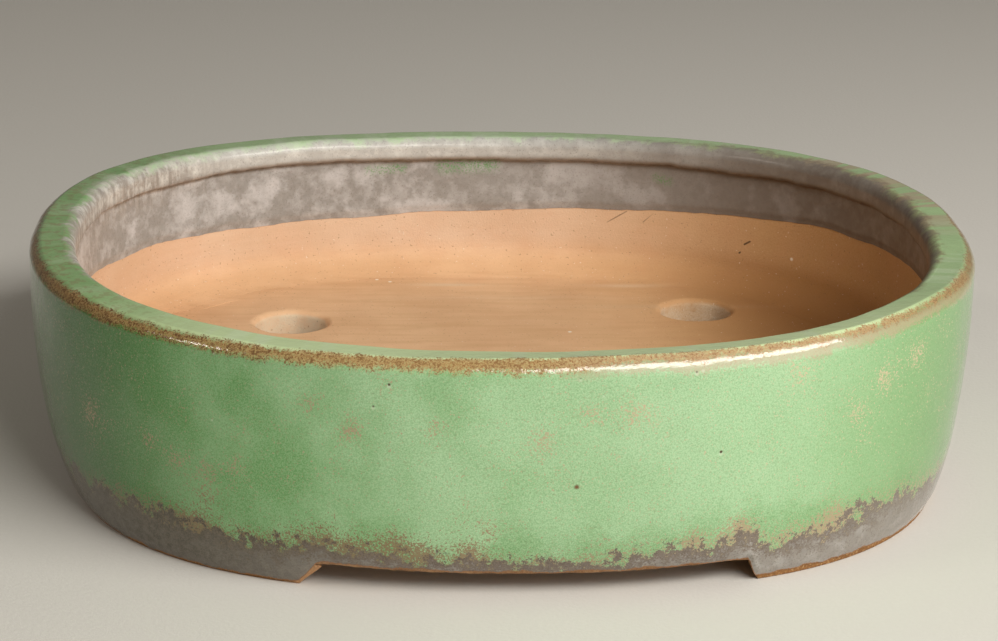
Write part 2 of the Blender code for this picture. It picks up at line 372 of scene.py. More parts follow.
def grid_faces(stations: int, rows: int, round_stations: bool, round_rows: bool) -> np.ndarray:
    """Quads between neighbours of a grid whose vertex number is station * rows + row.

    Args:
        stations: Number of stations.
        rows: Number of points in each profile.
        round_stations: Whether the last station joins the first.
        round_rows: Whether each profile is a closed loop.

    Returns:
        Vertex numbers, (faces, 4).
    """
    s = np.arange(stations if round_stations else stations - 1)[:, None]
    r = np.arange(rows if round_rows else rows - 1)[None, :]
    ahead, above = (s + 1) % stations, (r + 1) % rows
    corners = [s * rows + r, ahead * rows + r, ahead * rows + above, s * rows + above]
    return np.stack([np.broadcast_to(c, (s.size, r.size)) for c in corners], axis=-1).reshape(-1, 4)


def signed_volume(points: np.ndarray, quads: np.ndarray) -> float:
    """A sixth of the sum of a.(b x c) over the triangles of the quads."""
    a, b, c, d = (points[quads[:, i]] for i in range(4))
    return float((a * (np.cross(b, c) + np.cross(c, d))).sum() / 6)


@dataclass
class Skin:
    """One piece as arrays, before it becomes a mesh.

    Attributes:
        name: The piece's name.
        points: Vertices, (count, 3).
        quads: Faces with four corners.
        caps: Faces with any number of corners.
        values: Per-vertex values for the materials, by attribute name.
        mixed: Whether its faces don't yet all look the same way.
    """

    name: str
    points: np.ndarray
    quads: np.ndarray
    caps: list[list[int]] = field(default_factory=list)
    values: dict[str, np.ndarray] = field(default_factory=dict)
    mixed: bool = False

    def to_object(self, material: bpy.types.Material, crease: float = 38.0) -> bpy.types.Object:
        """Make the mesh object, smooth but for edges sharper than crease degrees.

        Args:
            material: The finish.
            crease: Angle above which an edge stays sharp, in degrees.

        Returns:
            The new object, at the origin, with its faces outwards.
        """
        quads = self.quads
        if signed_volume(self.points, quads) < 0:
            quads = quads[:, ::-1]
        mesh = bpy.data.meshes.new(self.name)
        mesh.from_pydata(self.points.tolist(), [], quads.tolist() + self.caps)
        for name, values in self.values.items():
            kind, part = ("FLOAT", "value") if values.ndim == 1 else ("FLOAT_VECTOR", "vector")
            layer = mesh.attributes.new(name, kind, "POINT")
            layer.data.foreach_set(part, values.astype(np.float32).ravel())
        body = bmesh.new()
        body.from_mesh(mesh)
        bmesh.ops.remove_doubles(body, verts=body.verts, dist=1e-6)
        if self.mixed:
            bmesh.ops.recalc_face_normals(body, faces=body.faces)
        body.to_mesh(mesh)
        body.free()
        mesh.shade_smooth()
        mesh.set_sharp_from_angle(angle=math.radians(crease))
        mesh.materials.append(material)
        piece = bpy.data.objects.new(self.name, mesh)
        bpy.context.scene.collection.objects.link(piece)
        return piece


def settle(piece: bpy.types.Object, slot: Slot, *nodes: str) -> bpy.types.Object:
    """Tell the frame what a piece rides on and what it stands for."""
    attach(piece, BODY)
    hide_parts(*nodes)
    LOG.info("%s: %d faces, stands for %s", piece.name, len(piece.data.polygons), ", ".join(nodes))
    return piece


def ring_stations(
    even: int = 620, extra: int = 14, reach: float = 0.004, closest: float = 0.00035
) -> np.ndarray:
    """Stations round the oval, with more of them at the four ends of the feet.

    Args:
        even: Number of evenly spaced stations.
        extra: Number of added stations at each foot end.
        reach: Share of the way round on either side of a foot end that gets them.
        closest: Least share between two stations.

    Returns:
        Sorted shares of the way round.
    """
    share = np.linspace(0.0, 1.0, 8001)[:-1]
    x, y = OVAL.at(share)[0].T
    ends = [np.arange(even) / even]
    for edge in (*FOOT_ENDS.left, *FOOT_ENDS.right):
        for half in (y > 0, y < 0):
            near = share[half][np.argmin(np.abs(x[half] - edge))]
            ends.append(np.mod(near + np.linspace(-reach, reach, extra) + 1e-5, 1.0))
    every = np.sort(np.concatenate(ends))
    keep = np.concatenate(([True], np.diff(every) > closest))
    return every[keep]


# ---- Materials


def linear(code: str) -> tuple[float, float, float, float]:
    """Turn an sRGB hex code such as "#6f9b4d" into linear red, green, blue and alpha."""
    channels = [int(code[i : i + 2], 16) / 255 for i in (1, 3, 5)]
    return (*(c / 12.92 if c <= 0.04045 else ((c + 0.055) / 1.055) ** 2.4 for c in channels), 1.0)


def put(tree: bpy.types.NodeTree, kind: str, inputs: dict, out: int | str = 0, **settings: object) -> object:
    """Add one shader node with its settings and links.

    Args:
        tree: The node tree.
        kind: The node's type, without the leading ShaderNode.
        inputs: For each socket name or number, a value or the output to link.
        out: The output to return.
        **settings: Properties of the node.

    Returns:
        The chosen output socket.
    """
    node = tree.nodes.new("ShaderNode" + kind)
    for name, value in settings.items():
        setattr(node, name, value)
    for name, value in inputs.items():
        if isinstance(value, bpy.types.NodeSocket):
            tree.links.new(value, node.inputs[name])
        else:
            node.inputs[name].default_value = value
    return node.outputs[out] if len(node.outputs) else node


def lumps(place: object, size: float, low: float, high: float, detail: float = 2.0) -> object:
    """A random field with lumps of a real size, stretched so that low gives 0 and high 1.

    Args:
        place: The coordinates, in metres.
        size: Distance between lumps, in metres.
        low: Noise value that becomes 0.
        high: Noise value that becomes 1.
        detail: Number of finer octaves.

    Returns:
        A socket from 0 to 1.
    """
    noise = {"Vector": place, "Scale": 1 / size, "Detail": detail, "Roughness": 0.6}
    return within(put(place.id_data, "TexNoise", noise), low, high)


def layered(base: object, *layers: tuple[object, object, object]) -> object:
    """Lay colours over a base, each by its own mask times its own strength.

    Args:
        base: Hex code or colour socket at the bottom.
        *layers: Each a mask, its strength, and a hex code or colour socket, bottom first.

    Returns:
        The colour socket on top.
    """
    colour = linear(base) if isinstance(base, str) else base
    for mask, strength, over in layers:
        over = linear(over) if isinstance(over, str) else over
        share = put(mask.id_data, "Math", {0: mask, 1: strength}, operation="MULTIPLY", use_clamp=True)
        colour = put(mask.id_data, "Mix", {0: share, 6: colour, 7: over}, out=2, data_type="RGBA")
    return colour


def weighed(start: float, *terms: tuple[object, float]) -> object:
    """Add up sockets, each times its own weight, from a starting value."""
    total = start
    for value, weight in terms:
        total = put(value.id_data, "Math", {0: value, 1: weight, 2: total}, operation="MULTIPLY_ADD")
    return total


def times(product: object, *others: object) -> object:
    """Multiply sockets with each other."""
    for other in others:
        product = put(product.id_data, "Math", {0: product, 1: other}, operation="MULTIPLY")
    return product


def within(value: object, low: float, high: float) -> object:
    """Map a socket smoothly from 0 at low to 1 at high; low may lie above high."""
    ends = {"Value": value, "From Min": low, "From Max": high}
    return put(value.id_data, "MapRange", ends, interpolation_type="SMOOTHSTEP")


def spots(place: object, marks: Sequence[tuple], edge: float = 0.6) -> object:
    """Small round or drawn-out marks at given places.

    The distance of a point from the segment a-b is |p - a - t (b - a)| with
    t = (p - a).(b - a) / |b - a|^2 held between 0 and 1.

    Args:
        place: Object coordinates.
        marks: Each (a, b, radius) in millimetres; a and b are points, equal for a dot.
        edge: Part of the radius over which a mark fades.

    Returns:
        A socket that is 1 inside the marks.
    """
    tree, total = place.id_data, None
    for start, end, radius in marks:
        a, b = np.array(start) * MM, np.array(end) * MM
        away = put(tree, "VectorMath", {0: place, 1: tuple(a)}, operation="SUBTRACT")
        span = b - a
        if np.linalg.norm(span) > 1e-6:
            scaled = tuple(span / (span @ span))
            along = put(tree, "VectorMath", {0: away, 1: scaled}, out=1, operation="DOT_PRODUCT")
            held = put(tree, "Clamp", {0: along})
            foot = put(tree, "VectorMath", {0: tuple(span), "Scale": held}, operation="SCALE")
            away = put(tree, "VectorMath", {0: away, 1: foot}, operation="SUBTRACT")
        gap = put(tree, "VectorMath", {0: away}, out=1, operation="LENGTH")
        mark = within(gap, radius * MM, radius * MM * (1 - edge))
        total = mark if total is None else put(tree, "Math", {0: total, 1: mark}, operation="MAXIMUM")
    return total


def new_tree(name: str) -> tuple[bpy.types.Material, bpy.types.NodeTree]:
    """An empty node material and its tree."""
    material = bpy.data.materials.new(name)
    material.use_nodes = True
    material.node_tree.nodes.clear()
    return material, material.node_tree


def close_tree(
    tree: bpy.types.NodeTree,
    colour: object,
    roughness: object,
    height: object,
    depth: float,
    glassy: object = None,
    **shine: float,
) -> None:
    """Add the shader, its bump and the output.

    Args:
        tree: The node tree.
        colour: Base colour socket.
        roughness: Roughness socket.
        height: Relief socket, from 0 to 1.
        depth: What 1 of relief stands for, in metres.
        glassy: Normal socket of a glassy top, if there is one.
        **shine: Constant values for the shader's own sockets, with _ for spaces.
    """
    normal = put(tree, "Bump", {"Height": height, "Distance": depth, "Strength": 1.0})
    inputs = {"Base Color": colour, "Roughness": roughness, "Normal": normal}
    inputs.update({name.replace("_", " "): value for name, value in shine.items()})
    if glassy is not None:
        inputs["Coat Normal"] = glassy
    shader = put(tree, "BsdfPrincipled", inputs)
    put(tree, "OutputMaterial", {"Surface": shader})


# Marks, in millimetres on the pot: where a fleck, pinhole, scratch or crack lies
ROSE_PATCHES = (
    (4.7, -124.8, 49.2, 4.5), (18.0, -124.6, 58.7, 4.0), (31.0, -123.5, 58.0, 5.5),
    (-14.9, -121.1, 16.0, 5.0), (-25.4, -124.0, 53.5, 3.5), (-49.2, -120.7, 52.8, 4.0),
    (-37.8, -119.5, 18.6, 5.0), (-9.4, -122.5, 22.8, 3.5), (99.3, -101.0, 49.4, 5.0),
    (107.1, -95.7, 58.3, 4.5), (119.3, -85.0, 62.2, 4.5), (-58.0, -118.5, 19.0, 5.0),
    (-50.0, -120.0, 16.5, 5.0), (-30.0, -122.0, 15.5, 4.5), (79.0, -111.8, 65.9, 4.5),
    (92.2, -101.7, 18.0, 6.0), (63.6, -114.3, 20.4, 5.0), (49.4, -117.4, 18.1, 4.0),
    (-99.8, -99.8, 35.4, 4.5), (-90.3, -105.3, 34.5, 4.0), (-82.1, -109.6, 37.2, 4.0),
    (-91.1, -103.8, 26.1, 5.0), (-108.1, -94.1, 39.4, 3.5), (-126.1, -76.5, 41.4, 6.0),
    (-60.5, -118.1, 59.4, 3.5), (-94.4, -99.7, 14.9, 5.0), (30.0, 121.0, 42.0, 6.0),
    (-70.0, 113.0, 52.0, 6.0), (95.0, 103.0, 34.0, 6.0), (-118.0, 86.0, 40.0, 6.0),
)
IRON_SPOT = (15.0, -123.8, 36.3)
PINHOLES = (
    (-38.4, -122.6, 67.1), (-42.8, -121.9, 60.3), (21.8, -124.4, 64.6), (15.1, -124.7, 69.6),
    (56.4, -118.8, 45.1), (50.1, -120.6, 71.0), (48.2, -121.0, 70.2), (72.3, -114.4, 72.6),
    (101.1, -100.1, 70.1), (-87.9, -107.7, 71.5), (-88.8, -107.1, 51.0), (-79.0, -111.8, 69.4),
)
SCRATCHES = (
    ((4.3, -125.0, 67.6), (1.3, -125.0, 63.4), 0.22),
    ((7.7, -124.9, 65.8), (5.8, -124.9, 60.4), 0.20),
)
WALL_CRACKS = (
    ((44.9, 111.1, 42.6), (51.9, 109.8, 47.2), 0.38),
    ((57.8, 108.1, 43.6), (61.9, 107.1, 47.7), 0.34),
    ((93.0, 92.8, 40.0), (94.8, 91.7, 41.4), 0.50),
    ((91.3, 93.5, 36.5), (91.6, 93.3, 36.8), 0.45),
)
CLAY_GRITS = (
    (-39.0, 99.9, 24.0), (-34.3, 97.6, 24.0), (26.5, 43.5, 24.0), (108.4, 80.8, 38.3),
)
GREEN_RUNS = (
    ((-15.0, 113.5, 63.0), (3.0, 113.8, 63.4), 4.5),
    ((-42.0, 111.5, 62.0), (-30.0, 112.5, 62.5), 3.0),
    ((62.0, 106.0, 61.0), (66.0, 105.0, 60.0), 3.0),
)
LIP_CHIP = (115.3, 74.9, 70.4)
# Height of the green's lower end above the ground at places along the front, in millimetres
GREEN_END = (
    (-150.0, 15.0), (-124.0, 16.0), (-111.0, 17.5), (-99.0, 16.0), (-87.0, 15.0), (-75.0, 14.0),
    (-64.0, 16.5), (-52.0, 14.0), (-35.0, 12.8), (-18.0, 12.5), (-6.0, 10.5), (11.0, 9.5), (23.0, 12.0),
    (40.0, 13.4), (52.0, 13.4), (64.0, 17.5), (77.0, 13.0), (89.0, 14.5), (103.0, 17.0), (117.0, 17.5),
    (130.0, 15.5), (150.0, 14.0),
)
# Height at which the glaze inside stops, by x, in millimetres: the pot was dipped at a slant
DIP_END = (
    (-150.0, 46.2), (-135.0, 45.5), (-115.0, 45.5), (-90.0, 44.4), (-61.0, 44.7), (-40.0, 45.6),
    (-18.0, 46.6), (18.0, 47.1), (54.0, 48.6), (90.0, 50.1), (108.0, 50.9), (126.0, 52.6), (150.0, 53.5),
)
# Distance from the arris at which the green of the crown gives way to grey, by the
# azimuth of the place in degrees from the front towards the right, in millimetres
CROWN_END = (
    (-180.0, 11.0), (-150.0, 12.0), (-115.0, 11.0), (-90.0, 10.5), (-65.0, 11.5), (-45.0, 13.0),
    (50.0, 13.0), (70.0, 12.5), (90.0, 11.8), (120.0, 9.6), (150.0, 9.2), (180.0, 11.0),
)


def dots(places: Sequence[tuple[float, float, float]], radius: float) -> list[tuple]:
    """Round marks of one radius at several places, in millimetres."""
    return [(place, place, radius) for place in places]


class GlazeFields:
    """The random fields and distances that a glaze's zones are made of, as sockets.

    The distances are in millimetres, from the mesh: rim runs from the middle of the
    arris over the crown and down the inside, above counts from the green's lower
    end, bare from the glaze's own edge, and meet is the rim at which the green of
    the crown ends.
    """

    def __init__(self, tree: bpy.types.NodeTree) -> None:
        """Add the nodes of all the fields."""
        self.place = put(tree, "TexCoord", {}, out="Object")
        self.side, self.depth = (put(tree, "SeparateXYZ", {0: self.place}, out=axis) for axis in (0, 1))
        names = ("rim_mm", "green_mm", "bare_mm", "meet_mm", "rose", "wild", "bars")
        values = [put(tree, "Attribute", {}, out="Fac", attribute_name=name) for name in names]
        self.rim, self.above, self.bare, self.meet, self.rose, self.wild, self.bars = values
        lay = put(tree, "Attribute", {}, out="Vector", attribute_name="lay")
        drawn = put(tree, "Mapping", {"Vector": lay, "Scale": (1.0, 1.0, 0.14)})
        fine = {"Vector": self.place, "Scale": 1 / (0.65 * MM), "Detail": 2.0, "Roughness": 0.75}
        self.speck = put(tree, "TexNoise", fine)
        self.grain = lumps(self.place, 0.40 * MM, 0.36, 0.64, 1.0)
        self.coarse = lumps(self.place, 2.4 * MM, 0.34, 0.66)
        self.tongue = lumps(self.place, 8.0 * MM, 0.32, 0.68)
        self.streaks = lumps(drawn, 2.2 * MM, 0.34, 0.68, 3.0)
        self.broad = lumps(drawn, 8.0 * MM, 0.34, 0.68)


@dataclass(frozen=True)
class PouredGlaze:
    """Apple-green stoneware glaze, poured and fired glossy, over an iron-bearing clay.

    It gives the eye a very fine green grain under a wet-looking surface, a
    stippled brown line where it ran thin over the arris, and purple-grey where it
    is thin at the foot and on the inside of the rim. Both glaze pieces carry these
    zones, so the borders between them wander freely across the seam.

    Attributes:
        green: The glaze at its usual thickness.
        pale: Paler green over the right half, painted light and sheen. The 28 mm milky clouds have their own
            colour.
        deep_and_shade: The darker green of the thicker glaze above the foot, and painted shade on the left
            side.
        grain_light: Light grains, 0.4 mm.
        grain_dark: Dark grains, 0.5 mm.
        crown: The glaze on the flat of the rim, where it is thin and yellowish.
        rust: The thin glaze on the arris.
        umber: Dark grains in the rust.
        sand: Light grains in the rust.
        fleck_brown: The flecks low on the wall, about 0.9 mm.
        fleck_beige: The same flecks higher up, where they are paler.
        plum: The thin glaze just below the green.
        stone: The thin glaze lower down.
        grey: The glaze inside the rim.
        chalk: Pale lavender clouds in the grey, about 18 mm.
        clay: The bare clay at the lower edge.
    """

    green: str = "#84b07b"
    pale: str = "#a9cca2"
    deep_and_shade: str = "#3a7f22"
    grain_light: str = "#c3e0b6"
    grain_dark: str = "#4a733c"
    crown: str = "#bbd4a1"
    rust: str = "#94693a"
    umber: str = "#5f3f22"
    sand: str = "#cdac78"
    fleck_brown: str = "#7f6445"
    fleck_beige: str = "#c7af90"
    plum: str = "#5b4a3e"
    stone: str = "#86807a"
    grey: str = "#9b9792"
    chalk: str = "#dad9db"
    clay: str = "#93653c"

    def material(self, name: str, rough: float, coat: float, coat_rough: float) -> bpy.types.Material:
        """Make the glaze.

        Args:
            name: Name of the material.
            rough: Roughness of the glaze under its glassy top.
            coat: Weight of the glassy top.
            coat_rough: Roughness of the glassy top.

        Returns:
            The material.
        """
        material, tree = new_tree(name)
        at = GlazeFields(tree)
        ragged = ((at.above, 1.0), (at.tongue, 5.6), (at.coarse, 3.8), (at.speck, 13.0), (at.grain, 1.2))
        edge = weighed(-11.9, *ragged)
        thin = within(edge, 0.8, -0.8)
        drips = ((at.broad, 1.0), (at.coarse, 1.4), (at.tongue, 2.4), (at.speck, 4.0))
        start = weighed(-4.8, (at.rim, 1.0), (at.meet, -1.0), *drips)
        inside = within(start, -2.2, 2.2)
        arris, brown = self._arris(at)
        flecked, fleck = self._flecks(at)
        body = self._crown(at, start, layered(self._green(at), (flecked, 1.0, fleck)))
        pits = spots(at.place, dots(PINHOLES, 0.62))
        halos = spots(at.place, dots([(x, y, z - 0.6) for x, y, z in PINHOLES], 0.85))
        worn = within(weighed(-0.8, (at.bare, 1.0), (at.speck, 1.6)), 0.50, 0.10)
        colour = layered(
            body,
            (thin, 1.0, self._low(at, edge)),
            (inside, 1.0, self._grey(at)),
            (arris, 1.0, brown),
            (halos, 0.45, "#cdd6bb"),
            (pits, 1.0, "#4a3a24"),
            (spots(at.place, dots([IRON_SPOT], 1.15)), 1.0, "#6b4322"),
            (spots(at.place, dots([IRON_SPOT], 0.60)), 1.0, "#a5713f"),
            (spots(at.place, SCRATCHES), 0.6, "#dfe8d2"),
            (spots(at.place, dots([LIP_CHIP], 1.5)), 1.0, "#d8ccb4"),
            (worn, 1.0, self.clay),
        )
        matt = weighed(rough, (thin, 0.14), (arris, 0.06), (worn, 0.25), (inside, 0.08), (at.coarse, 0.05))
        relief = weighed(1.0, (at.coarse, 0.25), (pits, -2.0), (flecked, 0.2), (at.grain, 0.14))
        peel = lumps(at.place, 1.6 * MM, 0.2, 0.8, 1.0)
        roll = lumps(at.place, 7.0 * MM, 0.2, 0.8, 1.0)
        waves = weighed(0.0, (peel, 0.35), (roll, 1.0), (at.grain, 0.06))
        glassy = put(tree, "Bump", {"Height": waves, "Distance": 0.10 * MM})
        shine = {"Coat_Weight": coat, "Coat_Roughness": coat_rough, "Coat_IOR": 1.5}
        shine |= {"IOR": 1.5, "Specular_IOR_Level": 0.2}
        close_tree(tree, colour, matt, relief, 0.045 * MM, glassy, **shine)
        return material

    def _green(self, at: GlazeFields) -> object:
        """The green: milky clouds, deeper above the foot, with light and dark grains; paler towards the
        right as painted light and sheen, darker at the left and at the right end as painted shade.
        """
        cloud = lumps(at.place, 28 * MM, 0.34, 0.66)
        # painted shade: the green darkens towards the left side, away from the lamps
        left = within(weighed(-0.015, (at.side, 1.0), (cloud, 0.03)), 0.0, -0.135)
        low = within(weighed(-6.0, (at.above, 1.0), (at.coarse, 3.0), (cloud, 9.0)), 13.0, 0.0)
        dark = lumps(at.place, 0.50 * MM, 0.50, 0.68, 1.0)
        rust = lumps(at.place, 0.75 * MM, 0.70, 0.77, 0.0)
        return layered(
            self.green,
            # painted light and sheen: the green grows paler towards the lit right
            (within(at.side, -0.050, 0.080), 0.48, self.pale),
            (cloud, 0.32, "#afd0a8"),
            (low, 0.42, self.deep_and_shade),
            (at.grain, 0.26, self.grain_light),
            (dark, 0.22, self.grain_dark),
            # painted shade: deeper green over the left, darkest at the far left
            (left, 0.82, self.deep_and_shade),
            (within(at.side, -0.090, -0.138), 0.80, "#1f5410"),
            # painted shade: the right end, turned away from the lamps, darker
            (within(at.side, 0.055, 0.138), 0.88, "#669553"),
            (at.grain, 0.10, self.grain_light),
            (rust, 0.20, self.fleck_brown),
            (within(at.speck, 0.60, 0.70), 0.30, "#d3cfa6"),
        )

    def _flecks(self, at: GlazeFields) -> tuple[object, object]:
        """Mask and colour of the flecks: clustered, and denser above the foot."""
        clump = lumps(at.place, 11 * MM, 0.45, 0.72)
        low = within(at.above, 9.0, 0.5)
        density = weighed(0.0, (at.rose, 0.135), (clump, 0.050), (low, 0.120), (at.speck, 1.0))
        pale = weighed(0.0, (within(at.side, -0.06, 0.08), 0.55), (within(at.above, 4.0, 22.0), 0.45))
        mask = times(within(density, 0.650, 0.685), 0.90)
        return mask, layered(self.fleck_brown, (pale, 1.0, self.fleck_beige))

    def _crown(self, at: GlazeFields, start: object, body: object) -> object:
        """Lay the crown over the green: yellowish, milky in streaks, with a border towards the grey.

        The border is minty behind and brown at the right, where two wide stripes
        cross the crown as well. The left end is greener, with brown bits, and on the
        front right pinkish stains lie below the arris.
        """
        flat = within(at.rim, 0.2, 2.2)
        left = times(flat, within(at.side, -0.085, -0.135))
        milky = weighed(0.0, (flat, within(at.broad, 0.50, 1.0)), (left, -0.45))
        green = times(left, weighed(0.95, (at.broad, -0.35), (at.tongue, -0.30)))
        bits = weighed(-0.62, (at.streaks, 0.5), (at.coarse, 0.6), (at.speck, 0.8))
        stripe = times(within(at.rim, 0.5, 2.5), at.bars, within(at.broad, 0.30, 0.62))
        border = times(within(start, -4.0, -1.0), within(start, 3.0, 0.4))
        mint = times(border, within(at.side, 0.08, 0.0), within(at.depth, 0.0, 0.07))
        below = weighed(-3.6, (at.rim, 1.0), (at.speck, 6.0), (at.broad, 1.5))
        stain = times(within(below, -4.2, -2.2), within(at.rim, 0.8, -0.4), within(at.side, 0.0, 0.03))
        top = times(within(at.rim, -1.5, 0.5), within(at.rim, 3.0, 1.0))
        return layered(
            body,
            (stain, 0.60, "#b3957f"),
            (flat, 0.60, self.crown),
            (times(flat, within(at.depth, -0.05, -0.11)), 0.60, "#deedb9"),
            (milky, 0.28, "#d6e4c8"),
            (green, 0.62, "#5c9a4a"),
            (times(left, within(bits, 0.28, 0.55)), 0.45, "#8a7350"),
            (stripe, 0.75, "#b39c86"),
            (mint, 0.55, "#d2e0c6"),
            (top, weighed(0.0, (at.coarse, 0.35), (at.speck, 0.45)), "#776040"),
            (times(border, within(at.side, 0.03, 0.10)), 0.55, "#80634a"),
        )

    def _arris(self, at: GlazeFields) -> tuple[object, object]:
        """Mask and colour of the stippled line along the arris.

        It is about 4 mm wide on the left, and narrower, pinker and 1.3 mm higher
        on the right half.
        """
        right = within(at.side, 0.0, 0.03)
        lit = within(at.side, -0.11, -0.02)
        grains = ((at.speck, 5.0), (at.grain, 0.9), (at.coarse, 0.7), (at.broad, 1.2))
        rough = weighed(-3.7, (right, -0.6), *grains)
        lower = within(weighed(0.0, (right, -1.3), (at.rim, 1.0), (rough, 1.0)), -3.2, -1.0)
        front = within(at.depth, -0.105, -0.122)
        upper = weighed(0.0, (right, -1.3), (front, -1.6), (at.rim, 1.0), (rough, -1.0))
        mask = times(lower, within(upper, 1.9, 0.7), weighed(0.20, (at.speck, 1.3)))
        dark = within(weighed(0.0, (at.speck, 1.0), (at.coarse, 0.08), (right, -0.08)), 0.50, 0.66)
        return mask, layered(
            self.rust,
            (lit, 0.40, "#bb9059"),
            (right, 0.40, "#b2927b"),
            (within(at.side, 0.085, 0.125), 0.60, "#80603c"),
            (at.grain, 0.45, self.sand),
            (dark, weighed(1.0, (lit, -0.45)), self.umber),
        )

    def _low(self, at: GlazeFields, edge: object) -> object:
        """The thin glaze near the foot: plum under the green, then stone grey, with bloom at the right;
        darker at the left and at the right end as painted shade.
        """
        down = within(weighed(0.8, (edge, 1.0), (at.tongue, -1.5)), -2.0, -8.0)
        right = within(at.side, -0.09, 0.09)
        bloom = times(lumps(at.place, 6 * MM, 0.45, 0.70, 3.0), right, down)
        return layered(
            self.plum,
            (down, 1.0, self.stone),
            (right, 0.14, "#a5a19d"),
            (bloom, 0.45, "#bbb8b4"),
            # painted shade: darker and olive over the left, away from the lamps
            (within(at.side, -0.02, -0.11), 0.90, "#3c351f"),
            # painted shade: darker at the right end, turned away from the lamps
            (within(at.side, 0.080, 0.140), 0.50, "#6f665c"),
            (at.coarse, 0.18, "#a0978a"),
            (within(at.speck, 0.52, 0.66), 0.35, "#574838"),
            (at.grain, 0.10, "#b9b09e"),
        )

    def _grey(self, at: GlazeFields) -> object:
        """The grey inside the rim: a blotchy pale lip, a thin brown line, a clouded band below.

        At the wild end of the pot the lip is softly streaked brown and white from
        the crown down. Towards the right all of it is darker brown as painted shade, the lip's pale
        blotches grow towards the left as painted light, and the brown line under the lip is part
        iron, part painted shade of the undercut.
        """
        drift = lumps(at.place, 15 * MM, 0.48, 0.66, 4.0)
        wisp = lumps(at.place, 5 * MM, 0.42, 0.70, 3.0)
        west = weighed(0.45, (within(at.side, 0.060, -0.020), 0.55))
        # painted shade: the grey darkens and browns towards the right, where the lamps don't reach inside
        right_shade = within(weighed(-0.010, (at.side, 1.0), (wisp, 0.020)), 0.000, 0.115)
        clouds = times(weighed(0.0, (drift, 0.55), (wisp, 0.25)), within(at.rim, 22.0, 25.0), west)
        # painted light: the lip's pale blotches grow towards the left, whose inside faces the lamps
        lit_lip = within(at.side, 0.090, -0.030)
        blotch = weighed(0.06, (wisp, 0.30), (drift, 0.20), (lit_lip, 0.38), (at.wild, -0.20))
        high = times(within(at.rim, 34.0, 20.0), at.wild)
        bark = within(weighed(1.6, (at.streaks, -0.6), (at.coarse, -0.7), (wisp, -0.5)), 0.35, 1.2)
        # partly painted shade: the brown line under the lip is part iron, part the undercut's shade,
        # stronger to the right
        under = weighed(-0.9, (at.rim, 1.0), (at.coarse, 0.9), (wisp, 0.9))
        line = times(within(under, 20.4, 21.6), within(under, 24.2, 22.4))
        run = times(spots(at.place, GREEN_RUNS, 1.0), within(at.speck, 0.44, 0.62))
        return layered(
            self.grey,
            (at.coarse, 0.20, "#6f665e"),
            (clouds, 1.0, self.chalk),
            (run, 1.0, "#6fa268"),
            (times(blotch, within(at.rim, 20.6, 17.0)), 1.0, "#e5e4dd"),
            (times(high, at.streaks), 0.38, "#e0d9ce"),
            (times(high, bark), 0.36, "#6b5138"),
            (right_shade, 0.68, "#574431"),
            (clouds, 0.50, "#b9b3ac"),
            (within(at.speck, 0.56, 0.68), 0.35, "#6d6257"),
            (line, weighed(0.12, (at.coarse, 0.35), (right_shade, 0.30)), "#57432f"),
        )


